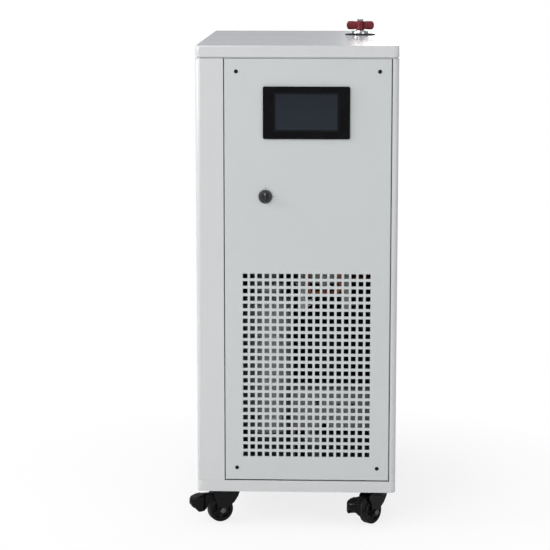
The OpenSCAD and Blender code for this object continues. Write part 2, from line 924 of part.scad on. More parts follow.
// Copper filter drier, a spun tube with conical ends
module filter_drier() {
    r = drier_d / 2;
    half = drier_len / 2;
    color(copper) cab() translate([drier_x, bracket_y - r - pass_clear, drier_z]) rotate([0, 90, 0])
        rotate_extrude() polygon([
            [0, -half], [4, -half], [4, -half + 10], [r, -half + 20],
            [r, half - 20], [4, half - 10], [4, half], [0, half]
        ]);
}

// Condenser: fins on straight tubes between two end plates
module condenser_coil() {
    end_t = 2;
    fins = 25;
    pitch = (coil_w - end_t) / (fins + 1);
    tube_pitch = coil_h / coil_tubes;
    color(steel) cab() translate([-coil_w / 2, coil_y, coil_z]) {
        for (x = [0, coil_w - end_t])
            translate([x, 0, 0]) cube([end_t, coil_d, coil_h]);
        for (i = [1 : fins])
            translate([i * pitch, 4, 6]) cube([1, coil_d - 8, coil_h - 12]);
        for (k = [0 : coil_tubes - 1])
            translate([coil_w / 2, coil_d / 2, tube_pitch * (k + 0.5)])
                bar_x(10, coil_w + 2 * tube_out);
        // Hairpin bends between neighbouring tubes, on the left and on the right in turn
        for (k = [0 : coil_tubes - 2])
            translate([k % 2 == 0 ? -tube_out : coil_w + tube_out, coil_d / 2, tube_pitch * (k + 1)])
                rotate([0, k % 2 == 0 ? -90 : 90, 0]) rotate([90, 0, 0])
                    rotate_extrude(angle = 180) translate([tube_pitch / 2, 0]) circle(d = 10);
        // Lower rail that stands on the tray
        translate([0, 0, floor_z - coil_z]) cube([coil_w, end_t, coil_z - floor_z + 8]);
        translate([0, coil_d - end_t, floor_z - coil_z]) cube([coil_w, end_t, coil_z - floor_z + 8]);
    }
}

// Shroud plate with its round duct
module fan_shroud() {
    t = 2;
    ring_r = fan_d / 2 + fan_gap;
    color(cabinet_colour) cab() translate([0, shroud_y, base_z + fan_z]) difference() {
        union() {
            translate([-coil_w / 2, 0, coil_z - base_z - fan_z]) cube([coil_w, t, coil_h]);
            bar_y(2 * ring_r + 2 * t, duct_len);
        }
        translate([0, -cut, 0]) bar_y(2 * ring_r, duct_len + 2 * cut);
    }
}

// Fan motor with its shaft and four arms on the duct's rim
module fan_motor() {
    ring_r = fan_d / 2 + fan_gap;
    arm_y = shroud_y + duct_len;
    color(black) cab() translate([0, 0, base_z + fan_z]) {
        translate([0, arm_y, 0]) bar_y(motor_d, motor_len);
        translate([0, arm_y + motor_len, 0]) bar_y(motor_d - 24, 8);
        translate([0, shroud_y + fan_in - 4, 0]) bar_y(shaft_d, duct_len - fan_in + 8);
        for (a = [45 : 90 : 315])
            rotate([0, a, 0]) translate([motor_d / 2 - 4, arm_y, -5])
                cube([ring_r + 2 - motor_d / 2 + 4, 5, 10]);
    }
}

// One fan blade: a swept plate, set at an angle to the air
module fan_blade() {
    rotate([fan_pitch, 0, 0]) translate([0, 0, -1.25]) linear_extrude(2.5) intersection() {
        difference() {
            translate([fan_d * 0.28, -fan_d * 0.05]) circle(fan_d * 0.22);
            translate([fan_d * 0.3, -fan_d * 0.27]) circle(fan_d * 0.22);
        }
        circle(fan_d / 2 - 2);
    }
}

// Fan: hub with a bore and swept blades
module fan_rotor() {
    hub_d = 96;
    hub_len = 34;
    color(dark_grey) cab()
    translate([0, shroud_y + fan_in, base_z + fan_z]) rotate([-90, 0, 0]) difference() {
        union() {
            cylinder(d = hub_d, h = hub_len);
            for (i = [0 : fan_blades - 1])
                rotate([0, 0, i * 360 / fan_blades]) translate([0, 0, hub_len / 2]) fan_blade();
        }
        translate([0, 0, -cut]) cylinder(d = shaft_d + 2 * run_clear, h = hub_len + 2 * cut);
    }
}

// Heating vessel: a stainless cylinder with dished ends on a skirt
module circulation_vessel() {
    r = vessel_d / 2;
    dish = r * 0.4;
    color(steel) cab() translate([vessel_x, vessel_y, floor_z]) {
        difference() {
            cylinder(r = r - 6, h = skirt_h + dish);
            translate([0, 0, -cut]) cylinder(r = r - 9, h = skirt_h - 10 + cut);
        }
        translate([0, 0, skirt_h]) rotate_extrude() {
            translate([0, dish]) square([r, vessel_h - 2 * dish]);
            translate([0, vessel_h - dish]) scaled_cap(r, dish);
            translate([0, dish]) mirror([0, 1]) scaled_cap(r, dish);
            // Neck and flange for the heater
            translate([0, vessel_h - dish]) square([neck_r, dish + 16]);
            translate([0, vessel_h + 6]) square([neck_r + 14, 10]);
        }
        // Stubs at the back
        for (z = [vessel_low_z, vessel_high_z])
            translate([0, 0, z - floor_z]) bar_y(stub_d, r + stub_len);
    }
}

// Screw-in heater with its flange, bolts and terminal cap
module heater_head() {
    color(steel) cab() translate([vessel_x, vessel_y, floor_z + skirt_h + vessel_h + 16]) {
        cylinder(r = neck_r + 14, h = 8);
        for (a = [0 : 60 : 300])
            rotate([0, 0, a]) translate([neck_r + 7, 0, 8]) cylinder(d = 10, h = 5);
        translate([0, 0, 8]) cylinder(r = neck_r - 6, h = 42);
    }
}

// Brazed plate heat exchanger on its foot
module plate_heat_exchanger() {
    plates = 12;
    color(steel) cab() translate([phe_x, phe_y, floor_z]) {
        for (i = [0 : plates - 1])
            translate([0, i * phe_d / plates, phe_foot]) linear_extrude(phe_h)
                translate([phe_w / 2, phe_d / plates / 2])
                    square([phe_w - (i % 2 == 0 ? 0 : 5), phe_d / plates], center = true);
        translate([phe_w / 2 - 35, 8, 0]) cube([70, phe_d - 16, phe_foot]);
        for (x = [phe_port_in, phe_w - phe_port_in], z = [phe_port_up, phe_h - phe_port_up])
            translate([x, phe_d, phe_foot + z]) bar_y(24, phe_port);
    }
}

// Circulation pump: the motor lies along x with cooling ribs and a foot
module pump_motor() {
    r = pump_d / 2;
    color(motor_grey) cab() translate([pump_x, pump_y, pump_z]) {
        rotate([0, 90, 0]) cylinder(r = r - 6, h = pump_len);
        for (i = [0 : 9])
            translate([14 + i * (pump_len - 34) / 9, 0, 0]) rotate([0, 90, 0]) cylinder(r = r, h = 4);
        translate([pump_len, 0, 0]) rotate([0, 90, 0]) cylinder(r = r - 2, h = 22);
        translate([20, -32, floor_z - pump_z]) cube([pump_len - 40, 64, pump_z - floor_z - r / 2]);
        translate([pump_len / 2 - 30, -24, r - 12]) cube([60, 48, 34]);
    }
}

// Pump volute with its suction and delivery stubs
module pump_head() {
    r = pump_d / 2 + 6;
    color(steel) cab() translate([pump_x, pump_y, pump_z]) {
        translate([-volute_len, 0, 0]) rotate([0, 90, 0]) cylinder(r = r, h = volute_len);
        translate([-volute_len - 14, 0, 0]) rotate([0, 90, 0]) cylinder(r = 18, h = 14);
        translate([-volute_len / 2, 0, 0]) cylinder(d = stub_d, h = delivery_h);
    }
}

// Stainless tank on the shelf, under the filling valve
module expansion_tank() {
    color(steel) cab() translate([valve_x, valve_y, shelf_z]) {
        linear_extrude(tank_h) soft_rect(tank_w, tank_d, 18);
        translate([0, 0, tank_h]) cylinder(d = 40, h = tank_neck);
        // Feed stub on the left
        translate([-tank_w / 2 - stub_len, feed_y - valve_y, feed_z - shelf_z])
            rotate([0, 90, 0]) cylinder(d = stub_d, h = stub_len + 2);
        for (z = [tank_h * 0.25, tank_h * 0.75])
            translate([0, 0, z]) linear_extrude(6) soft_rect(tank_w + 4, tank_d + 4, 20);
    }
}

// Tubes

module refrigerant_pipes() {
    r = 5;
    bend = 12;
    far_x = coil_w / 2 + tube_out + 18;
    coil_end = coil_w / 2 + tube_out;
    coil_mid = coil_y + coil_d / 2;
    high_z = coil_z + coil_h * (coil_tubes - 0.5) / coil_tubes;
    low_z = coil_z + coil_h * 0.5 / coil_tubes;
    cross_z = shelf_z - 35;
    stub_y = comp_y + stub_back;
    phe_end = phe_y + phe_d + phe_port;
    phe_left = phe_x + phe_port_in;
    phe_top = floor_z + phe_foot + phe_h - phe_port_up;
    phe_bottom = floor_z + phe_foot + phe_port_up;
    drier_left = drier_x - drier_len / 2;
    drier_right = drier_x + drier_len / 2;
    color(copper) cab() {
        // Discharge gas from the compressor to the top of the condenser
        pipe([
            [comp_x + stub_out, stub_y, comp_top_z],
            [comp_x + stub_out, stub_y, comp_top_z + 55],
            [far_x, stub_y, comp_top_z + 55],
            [far_x, coil_mid, comp_top_z + 55],
            [far_x, coil_mid, high_z],
            [coil_end, coil_mid, high_z]
        ], r, bend);
        // Liquid from the bottom of the condenser to the filter drier
        pipe([
            [coil_end, coil_mid, low_z],
            [far_x, coil_mid, low_z],
            [far_x, coil_y - 160, low_z],
            [far_x - 36, coil_y - 160, low_z],
            [far_x - 36, coil_y - 160, cross_z],
            [drier_right + 13, coil_y - 160, cross_z],
            [drier_right + 13, drier_y, cross_z],
            [drier_right + 13, drier_y, drier_z],
            [drier_right, drier_y, drier_z]
        ], r, bend);
        // From the drier to the bottom of the heat exchanger
        pipe([
            [drier_left, drier_y, drier_z],
            [drier_left - 17, drier_y, drier_z],
            [drier_left - 17, drier_y, cross_z],
            [drier_left - 17, phe_end + 35, cross_z],
            [phe_left - 37, phe_end + 35, cross_z],
            [phe_left - 37, phe_end + 35, phe_bottom],
            [phe_left, phe_end + 35, phe_bottom],
            [phe_left, phe_end, phe_bottom]
        ], r, bend);
        // Suction gas from the heat exchanger back to the compressor
        pipe([
            [phe_left, phe_end, phe_top],
            [phe_left, phe_end + 80, phe_top],
            [phe_left, phe_end + 80, cross_z - 30],
            [comp_x - stub_out, phe_end + 80, cross_z - 30],
            [comp_x - stub_out, stub_y, cross_z - 30],
            [comp_x - stub_out, stub_y, comp_top_z]
        ], r, bend);
    }
}

module fluid_pipes() {
    r = 11;
    bend = 20;
    supply_x = port_x + port_pitch / 2;
    return_x = port_x - port_pitch / 2;
    phe_right = phe_x + phe_w - phe_port_in;
    phe_end = phe_y + phe_d + phe_port;
    phe_top = floor_z + phe_foot + phe_h - phe_port_up;
    phe_bottom = floor_z + phe_foot + phe_port_up;
    port_height = base_z + port_z;
    vessel_back = vessel_y + vessel_d / 2 + stub_len;
    color(steel) cab() {
        // Return port to the bottom of the heat exchanger, with the tank's feed
        union() {
            pipe([
                [return_x, port_end_y, port_height],
                [return_x, rise_y, port_height],
                [return_x, rise_y, phe_bottom],
                [return_x, phe_end, phe_bottom]
            ], r, bend);
            pipe([
                [valve_x - tank_w / 2 - stub_len, feed_y, feed_z],
                [return_x, feed_y, feed_z],
                [return_x, rise_y, feed_z]
            ], r - 2, bend);
        }
        // Heat exchanger to the pump
        pipe([
            [phe_right, phe_end, phe_top],
            [phe_right, phe_end + 55, phe_top],
            [phe_right + 65, phe_end + 55, phe_top],
            [phe_right + 65, phe_end + 55, pump_z],
            [phe_right + 65, pump_y, pump_z],
            [pump_x - volute_len - 14, pump_y, pump_z]
        ], r, bend);
        // Pump to the vessel
        pipe([
            [pump_x - volute_len / 2, pump_y, pump_z + delivery_h],
            [pump_x - volute_len / 2, pump_y, vessel_low_z],
            [vessel_x, pump_y, vessel_low_z],
            [vessel_x, vessel_back, vessel_low_z]
        ], r, bend);
        // Vessel to the supply port
        pipe([
            [vessel_x, vessel_back, vessel_high_z],
            [vessel_x, rise_y, vessel_high_z],
            [vessel_x, rise_y, port_height],
            [supply_x, rise_y, port_height],
            [supply_x, port_end_y, port_height]
        ], r, bend);
    }
}

// Filling valve

// Tube from the tank up to the valve, with a union nut
module filler_riser() {
    color(steel) cab() translate([valve_x, valve_y, top_z - valve_drop - riser_len]) {
        cylinder(d = valve_bore + 6, h = riser_len);
        cylinder(d = 40, h = 16, $fn = 6);
    }
}

module valve_body() {
    edge = 1.5;
    r = valve_neck_d / 2;
    color(chrome) cab() translate([valve_x, valve_y, top_z]) difference() {
        union() {
            rotate_extrude() polygon([
                [0, -valve_drop + 24], [r, -valve_drop + 24], [r, neck_out - edge],
                [r - edge, neck_out], [0, neck_out]
            ]);
            translate([0, 0, -valve_drop]) cylinder(d = valve_af / cos(30), h = 24, $fn = 6);
        }
        translate([0, 0, neck_out - 20]) cylinder(d = stem_d + 2 * run_clear, h = 20 + cut);
    }
}

module valve_stem() {
    color(chrome) cab() translate([valve_x, valve_y, top_z + neck_out - 18])
        cylinder(d = stem_d, h = hub_top + 6 - neck_out + 18);
}

// Wing handle: a hub with two flared, round-ended wings
module valve_handle() {
    wing_low = neck_out + 2;
    wing_mid = (hub_top + wing_low) / 2;
    end_r = handle_h / 2 - 1;
    color(red) cab() translate([valve_x, valve_y, top_z]) difference() {
        union() {
            translate([0, 0, neck_out + pass_clear]) cylinder(d = 22, h = hub_top - neck_out - pass_clear);
            translate([0, 4, wing_mid]) rotate([90, 0, 0]) linear_extrude(8) difference() {
                union() {
                    square([handle_w - 2 * end_r, handle_h - 4], center = true);
                    for (sx = [-1, 1])
                        translate([sx * (handle_w / 2 - end_r), 0]) circle(end_r);
                }
                for (sx = [-1, 1])
                    translate([sx * handle_w * 0.26, -handle_h * 1.55]) circle(handle_h * 1.15);
            }
        }
        cylinder(d = stem_d + 2 * run_clear, h = hub_top + cut);
    }
}

module handle_nut() {
    color(chrome) cab() translate([valve_x, valve_y, top_z + hub_top]) difference() {
        cylinder(d = 17, h = 5, $fn = 6);
        translate([0, 0, -cut]) cylinder(d = stem_d + 2 * run_clear, h = 5 + 2 * cut);
    }
}

// Rubber grommet that grips the cover's edge and closes round the valve's neck
module cover_grommet() {
    hole_r = cover_hole_d / 2;
    inner_r = valve_neck_d / 2 + pass_clear;
    low = -sheet_t - pass_clear;
    color(black) cab() translate([valve_x, valve_y, top_z]) rotate_extrude() polygon([
        [inner_r, low - 3], [hole_r + 6, low - 3], [hole_r + 6, low], [hole_r - pass_clear, low],
        [hole_r - pass_clear, 0], [grommet_d / 2, 0], [grommet_d / 2, grommet_t - 1],
        [grommet_d / 2 - 1, grommet_t], [inner_r, grommet_t]
    ]);
}

// Back fittings

// One circulation port: tube with a barbed end, a collar and an inner nut
module circulation_port() {
    difference() {
        union() {
            translate([0, cab_d - port_in, 0]) bar_y(port_d, port_in + port_out);
            translate([0, cab_d, 0]) bar_y(port_d + 13, 5);
            translate([0, cab_d - sheet_t - 7, 0]) nut_y(port_d + 14, 7);
            translate([0, cab_d + 5, 0]) nut_y(port_d + 10, 8);
        }
        translate([0, cab_d - port_in + 6, 0]) bar_y(port_bore, port_in + port_out);
    }
}

module circulation_ports() {
    color(steel) cab()
        for (sx = [-1, 1])
            translate([port_x + sx * port_pitch / 2, 0, base_z + port_z]) circulation_port();
}

// Drain: a threaded stub with a hexagon cap
module drain_port() {
    color(steel) cab() translate([drain_x, 0, drain_z]) {
        translate([0, cab_d - 14, 0]) bar_y(drain_d, 36);
        translate([0, cab_d, 0]) nut_y(drain_d + 10, 5);
        translate([0, cab_d + 12, 0]) nut_y(drain_d + 8, 16);
        translate([0, cab_d - sheet_t - 6, 0]) nut_y(drain_d + 10, 6);
    }
}

// Inlet gland for the mains cable
module cable_gland() {
    color(black) cab() translate([gland_x, 0, gland_z]) difference() {
        union() {
            translate([0, cab_d - 12, 0]) bar_y(gland_d, 12);
            translate([0, cab_d, 0]) nut_y(gland_d + 10, 6);
            translate([0, cab_d + 6, 0]) rotate([-90, 0, 0])
                cylinder(d1 = gland_d + 5, d2 = gland_d - 2, h = 18);
            translate([0, cab_d - sheet_t - 6, 0]) nut_y(gland_d + 8, 6);
        }
        translate([0, cab_d - 12 - cut, 0]) bar_y(gland_bore, 36 + 2 * cut);
    }
}

// Casters

// Puts a piece drawn around a swivel, with the pedal's side along +x, at the caster's place
module at_caster(i) {
    p = caster_places[i];
    cab() translate([p.x, p.y, 0]) rotate([0, 0, 180 + p.z]) children();
}

// A round bar across the caster, around the middle of its width
module across(d, len) {
    rotate([90, 0, 0]) cylinder(d = d, h = len, center = true);
}

// Fixed plates with their bearing races and kingpins
module caster_plates() {
    top = caster_h;
    color(steel) cab()
        for (p = caster_places)
            translate([p.x, p.y, 0]) {
                translate([0, 0, top - plate_t]) linear_extrude(plate_t) difference() {
                    soft_rect(bolt_pitch_x + 20, bolt_pitch_y + 20, 8);
                    bolt_places() circle(d = bolt_d + 2 * run_clear);
                }
                translate([0, 0, top - plate_t - race_h]) cylinder(d = 50, h = race_h);
                translate([0, 0, fork_low_z - 4]) cylinder(d = kingpin_d, h = top - plate_t - fork_low_z + 4);
                translate([0, 0, fork_low_z - pass_clear - 4]) cylinder(d = 20, h = 4);
            }
}

// Bolts with their nuts, through the caster plates and the tray
module caster_bolts() {
    color(dark_grey) cab()
        for (p = caster_places)
            translate([p.x, p.y, 0]) bolt_places() {
                translate([0, 0, caster_h - plate_t - 5]) cylinder(d = 13, h = 5, $fn = 6);
                translate([0, 0, caster_h - plate_t - 5]) cylinder(d = bolt_d, h = plate_t + floor_t + 15);
                translate([0, 0, floor_z]) cylinder(d = 15, h = 6.5, $fn = 6);
            }
}

// Side view of one fork cheek: shoulder under the swivel, ear of the pedal and boss of the axle
module cheek_shape(braked) {
    top = fork_low_z + 7;
    polygon([
        [-29, top], [-29, top - 6], [-25, top - 17], [-15, top - 31], [trail - 12, wheel_r + 2],
        [trail + 12, wheel_r + 2], [trail + 15, wheel_r + 18], [pivot_u + 4, pivot_z - 6], [pivot_u + 5, top]
    ]);
    translate([trail, wheel_r]) circle(12.5);
    if (braked) translate([pivot_u, pivot_z]) circle(8.5);
}

module fork(i, braked) {
    color(black) at_caster(i) difference() {
        union() {
            translate([0, 0, fork_low_z]) cylinder(d = 54, h = head_h);
            translate([-29, -cheek_in - cheek_t, fork_low_z]) cube([54, 2 * (cheek_in + cheek_t), 7]);
            for (v = [-cheek_in - cheek_t, cheek_in])
                translate([0, v + cheek_t, 0]) rotate([90, 0, 0]) linear_extrude(cheek_t) cheek_shape(braked);
            if (braked) translate([pivot_u, 0, pivot_z]) across(pivot_d, 2 * cheek_in + cheek_t);
        }
        translate([0, 0, fork_low_z - cut]) cylinder(d = kingpin_d + 2 * run_clear, h = head_h + 2 * cut);
        translate([trail, 0, wheel_r]) across(axle_d + 2 * run_clear, 4 * cheek_in);
    }
}

// Axle bolt with its head and nut outside the cheeks
module axle(i) {
    reach = cheek_in + cheek_t;
    color(steel) at_caster(i) translate([trail, 0, wheel_r]) {
        across(axle_d, 2 * reach + 14);
        for (sy = [-1, 1])
            translate([0, sy * (reach + 2.5), 0]) rotate([90, 0, 0])
                cylinder(d = 15, h = 5, center = true, $fn = 6);
    }
}

// Wheel with a crowned tread, dished sides and a hub
module wheel(i) {
    half = wheel_w / 2;
    hub_half = cheek_in - pass_clear;
    bore_r = axle_d / 2 + run_clear;
    soft = 4;
    color(black) at_caster(i) translate([trail, 0, wheel_r]) rotate([90, 0, 0]) rotate_extrude() {
        polygon([
            [bore_r, -hub_half], [9, -hub_half], [10, -half + 4], [wheel_r - 9, -half + 4],
            [wheel_r - 7, -half], [wheel_r - soft, -half], [wheel_r - soft, half], [wheel_r - 7, half],
            [wheel_r - 9, half - 4], [10, half - 4], [9, hub_half], [bore_r, hub_half]
        ]);
        translate([wheel_r - soft - 0.5, -half + soft]) square([soft + 0.5, wheel_w - 2 * soft]);
        for (v = [-half + soft, half - soft])
            translate([wheel_r - soft, v]) circle(soft);
    }
}

// Side view of the pedal, from its pin: arm, rounded toe and the skirt's slanting lower rim, drawn inset
module pedal_side(inset) {
    arm = lobe_out - pivot_u;
    toe_x = arm + lobe_r - toe_r + toe_over;
    toe_z = toe_rise - toe_r;
    reach = toe_r - inset;
    inner = (reach - arc_lap) * cos(45);
    translate([toe_x, toe_z]) circle(reach);
    if (inset == 0)
        polygon([
            [0, -arm_t / 2], [arm / 3, -arm_t / 2], [arm - lobe_r, -root_drop],
            [arm - arm_t / 2, -skirt_drop], [toe_x + inner, toe_z - inner],
            [toe_x, toe_z + reach - arc_lap], [arm - lobe_r - arm_t / 2, tread_z], [0, arm_t / 2]
        ]);
    else
        polygon([
            [arm - lobe_r, -2 * skirt_drop], [toe_x + inner, -2 * skirt_drop],
            [toe_x + inner, toe_z - inner], [toe_x, toe_z + reach - arc_lap],
            [arm - lobe_r, tread_z + arc_lap - inset]
        ]);
}

// Brake pedal: a boss on the fork's pin, an arm and a hollow, round-nosed tread with grip ribs
module pedal(i) {
    arm = lobe_out - pivot_u;
    top_x = arm - lobe_r - arm_t / 2;
    slope = atan2(toe_rise - tread_z - arc_lap, arm + lobe_r - toe_r + toe_over - top_x);
    color(black) at_caster(i) translate([pivot_u, 0, pivot_z]) difference() {
        union() {
            across(12, 2 * cheek_in - 2 * pass_clear);
            intersection() {
                translate([0, lobe_r, 0]) rotate([90, 0, 0]) linear_extrude(2 * lobe_r) pedal_side(0);
                translate([0, 0, -2 * skirt_drop]) linear_extrude(4 * skirt_drop) {
                    translate([arm, 0]) circle(lobe_r);
                    translate([0, -arm_w / 2]) square([arm, arm_w]);
                }
            }
            translate([top_x, 0, tread_z]) rotate([0, -slope, 0])
                for (k = [0 : 2])
                    translate([tread_z + k * rib_pitch, -rib_len / 2, -1]) cube([rib_w, rib_len, 2.2]);
        }
        across(pivot_d + 2 * run_clear, 4 * cheek_in);
        intersection() {
            translate([0, lobe_r, 0]) rotate([90, 0, 0]) linear_extrude(2 * lobe_r) pedal_side(lobe_wall);
            translate([arm, 0, -2 * skirt_drop]) cylinder(r = lobe_r - lobe_wall, h = 4 * skirt_drop);
        }
    }
}

module fork_front_left() { fork(0, true); }
module fork_front_right() { fork(1, true); }
module fork_rear_left() { fork(2, false); }
module fork_rear_right() { fork(3, false); }
module axle_front_left() { axle(0); }
module axle_front_right() { axle(1); }
module axle_rear_left() { axle(2); }
module axle_rear_right() { axle(3); }
module wheel_front_left() { wheel(0); }
module wheel_front_right() { wheel(1); }
module wheel_rear_left() { wheel(2); }
module wheel_rear_right() { wheel(3); }
module pedal_front_left() { pedal(0); }
module pedal_front_right() { pedal(1); }

base_tray();
left_side_panel();
right_side_panel();
front_frame();
rear_panel();
top_cover();
front_panel();
front_panel_screws();
touchscreen_bezel();
touchscreen_glass();
touchscreen_housing();
switch_collar();
switch_knob();
switch_body();
equipment_shelf();
control_plate();
contactors();
circuit_breaker();
compressor_stand();
compressor();
compressor_mounts();
support_bracket();
condenser_coil();
fan_shroud();
fan_motor();
fan_rotor();
circulation_vessel();
heater_head();
plate_heat_exchanger();
pump_head();
pump_motor();
expansion_tank();
refrigerant_pipes();
fluid_pipes();
filter_drier();
filler_riser();
valve_body();
valve_stem();
valve_handle();
handle_nut();
cover_grommet();
circulation_ports();
drain_port();
cable_gland();
caster_plates();
caster_bolts();
fork_front_left();
fork_front_right();
fork_rear_left();
fork_rear_right();
axle_front_left();
axle_front_right();
axle_rear_left();
axle_rear_right();
wheel_front_left();
wheel_front_right();
wheel_rear_left();
wheel_rear_right();
pedal_front_left();
pedal_front_right();
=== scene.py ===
import bpy
import bmesh
import math
import numpy as np
from mathutils import Matrix, Vector


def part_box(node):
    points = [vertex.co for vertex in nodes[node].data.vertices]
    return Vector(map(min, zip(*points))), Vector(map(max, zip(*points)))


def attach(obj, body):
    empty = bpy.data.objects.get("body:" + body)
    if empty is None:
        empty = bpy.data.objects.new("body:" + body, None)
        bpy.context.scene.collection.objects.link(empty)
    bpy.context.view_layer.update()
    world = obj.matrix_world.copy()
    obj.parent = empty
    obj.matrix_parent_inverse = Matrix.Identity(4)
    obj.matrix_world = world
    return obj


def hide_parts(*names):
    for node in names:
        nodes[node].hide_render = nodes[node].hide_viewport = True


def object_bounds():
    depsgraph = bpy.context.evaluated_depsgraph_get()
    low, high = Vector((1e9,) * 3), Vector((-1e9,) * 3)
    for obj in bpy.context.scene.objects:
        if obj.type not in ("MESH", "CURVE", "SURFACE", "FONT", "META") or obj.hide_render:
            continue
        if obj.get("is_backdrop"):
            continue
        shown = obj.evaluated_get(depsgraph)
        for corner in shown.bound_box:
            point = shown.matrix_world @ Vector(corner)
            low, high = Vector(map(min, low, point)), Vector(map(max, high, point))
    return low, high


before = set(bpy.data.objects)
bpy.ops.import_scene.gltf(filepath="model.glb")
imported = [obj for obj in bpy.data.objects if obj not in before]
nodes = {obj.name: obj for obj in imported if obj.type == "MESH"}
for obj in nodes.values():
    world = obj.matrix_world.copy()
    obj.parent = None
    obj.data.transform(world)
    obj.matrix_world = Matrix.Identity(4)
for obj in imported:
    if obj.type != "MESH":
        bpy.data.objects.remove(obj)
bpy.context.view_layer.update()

# the cabinet's middle and its front face, everything below is placed from them
coverLow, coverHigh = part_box("top_cover")
cabX = (coverLow[0] + coverHigh[0]) / 2
cabY = coverLow[1]
topZ = coverHigh[2]
print("frame loaded,", len(nodes), "nodes")


def spot(x, y, z):
    # a place measured from the middle of the cabinet's front face, at floor height
    return Vector((cabX + x, cabY + y, z))


# every shell is (points, faces), and a piece joins its shells into one mesh

def sheetShell(points, closeU=False, closeV=False):
    # points is a grid of nu by nv, each face joins four neighbours
    nu, nv = points.shape[:2]
    i, j = np.indices((nu if closeU else nu - 1, nv if closeV else nv - 1))
    iNext, jNext = (i + 1) % nu, (j + 1) % nv
    faces = np.stack([i * nv + j, iNext * nv + j, iNext * nv + jNext, i * nv + jNext], -1)
    return points.reshape(-1, 3), faces.reshape(-1, 4)


def turned(profile, steps=72, ripple=None):
    # a profile of (radius, height) turned round z, ripple(radius, height, angle) adds to the height
    profile = np.array(profile, float)
    ang = np.linspace(0, 2 * math.pi, steps, endpoint=False)
    r = profile[:, 0][None, :].repeat(steps, 0)
    h = profile[:, 1][None, :].repeat(steps, 0)
    a = ang[:, None].repeat(len(profile), 1)
    if ripple is not None:
        h = h + ripple(r, h, a)
    pts = np.stack([r * np.cos(a), r * np.sin(a), h], -1)
    return sheetShell(pts, closeU=True)


def arcPoints(cx, cy, r, a0, a1, n):
    # n points on a circle round (cx, cy), from a0 to a1 degrees
    t = np.radians(np.linspace(a0, a1, n))
    return [(cx + r * math.cos(k), cy + r * math.sin(k)) for k in t]


def ringOutline(r, n=48):
    # a circle of radius r
    t = np.linspace(0, 2 * math.pi, n, endpoint=False)
    return np.stack([r * np.cos(t), r * np.sin(t)], -1)


def boxOutline(w, h, r, n=6):
    # rectangle with round corners, counter-clockwise
    pts = []
    for cx, cy, a in ((w / 2 - r, h / 2 - r, 0), (-w / 2 + r, h / 2 - r, 90),
                      (-w / 2 + r, -h / 2 + r, 180), (w / 2 - r, -h / 2 + r, 270)):
        pts += arcPoints(cx, cy, r, a, a + 90, n)
    return np.array(pts)


def hexOutline(d, r=0.0004, n=3):
    # hexagon d over its corners, the corners rounded by r
    pts = []
    for k in range(6):
        a = 60 * k
        reach = d / 2 - r / math.cos(math.radians(30))
        cx, cy = reach * math.cos(math.radians(a)), reach * math.sin(math.radians(a))
        pts += arcPoints(cx, cy, r, a - 30, a + 30, n)
    return np.array(pts)


def slabShell(outline, depth, edge=0.0005, steps=3, hole=None):
    # outline extruded from 0 to depth with rolled edges, hole is the radius of a round hole
    if hole is not None:
        hole = hole * outline / np.linalg.norm(outline, axis=1)[:, None]
    nxt = np.roll(outline, -1, 0)
    prv = np.roll(outline, 1, 0)
    tan = nxt - prv
    nrm = np.stack([tan[:, 1], -tan[:, 0]], -1)
    nrm /= np.linalg.norm(nrm, axis=1)[:, None] + 1e-12
    rings = []
    mid = outline.mean(0)
    inner = np.repeat(mid[None, :], len(outline), 0) if hole is None else hole
    rings.append(np.c_[inner, np.zeros(len(outline))])
    for k in range(steps + 1):
        a = math.pi / 2 * k / steps
        rings.append(np.c_[outline - nrm * edge * (1 - math.sin(a)),
                           np.full(len(outline), edge * (1 - math.cos(a)))])
    for k in range(steps + 1):
        a = math.pi / 2 * k / steps
        rings.append(np.c_[outline - nrm * edge * (1 - math.cos(a)),
                           np.full(len(outline), depth - edge * (1 - math.sin(a)))])
    rings.append(np.c_[inner, np.full(len(outline), depth)])
    return sheetShell(np.array(rings), closeU=hole is not None, closeV=True)


def filletPath(points, bend, n=8):
    # a polyline with its corners rounded by the bend radius
    pts = [Vector(p) for p in points]
    out = [pts[0]]
    for a, b, c in zip(pts, pts[1:], pts[2:]):
        u = (a - b).normalized()
        v = (c - b).normalized()
        half = math.acos(max(-1, min(1, u.dot(v)))) / 2
        if abs(half - math.pi / 2) < 1e-3:
            continue
        cut = min(bend / math.tan(half), (a - b).length * 0.49, (c - b).length * 0.49)
        r = cut * math.tan(half)
        mid = b + (u + v).normalized() * (r / math.sin(half))
        s, e = b + u * cut - mid, b + v * cut - mid
        for k in range(n + 1):
            out.append(mid + s.slerp(e, k / n).normalized() * r)
    out.append(pts[-1])
    return np.array(out)


def tubeShell(points, radius, sides=14, radii=None):
    # a round tube along the points, its rings carried along without twisting
    pts = np.array(points, float)
    keep = [0] + [i for i in range(1, len(pts)) if np.linalg.norm(pts[i] - pts[i - 1]) > 1e-7]
    pts = pts[keep]
    if radii is not None:
        radii = np.array(radii)[keep]
    tan = np.gradient(pts, axis=0)
    tan /= np.linalg.norm(tan, axis=1)[:, None]
    ref = Vector((0, 0, 1)) if abs(tan[0][2]) < 0.9 else Vector((1, 0, 0))
    side = Vector(tan[0]).cross(ref).normalized()
    rings = []
    t = np.linspace(0, 2 * math.pi, sides, endpoint=False)
    for i, p in enumerate(pts):
        w = Vector(tan[i])
        side = (side - w * side.dot(w)).normalized()
        other = w.cross(side)
        r = radius if radii is None else radii[i]
        rings.append(p + r * (np.cos(t)[:, None] * np.array(side) + np.sin(t)[:, None] * np.array(other)))
    rings = [np.repeat(pts[:1], sides, 0)] + rings + [np.repeat(pts[-1:], sides, 0)]
    return sheetShell(np.array(rings), closeV=True)


def moved(shell, matrix):
    # every point times the matrix
    pts, faces = shell
    m = np.array(matrix)
    return pts @ m[:3, :3].T + m[:3, 3], faces


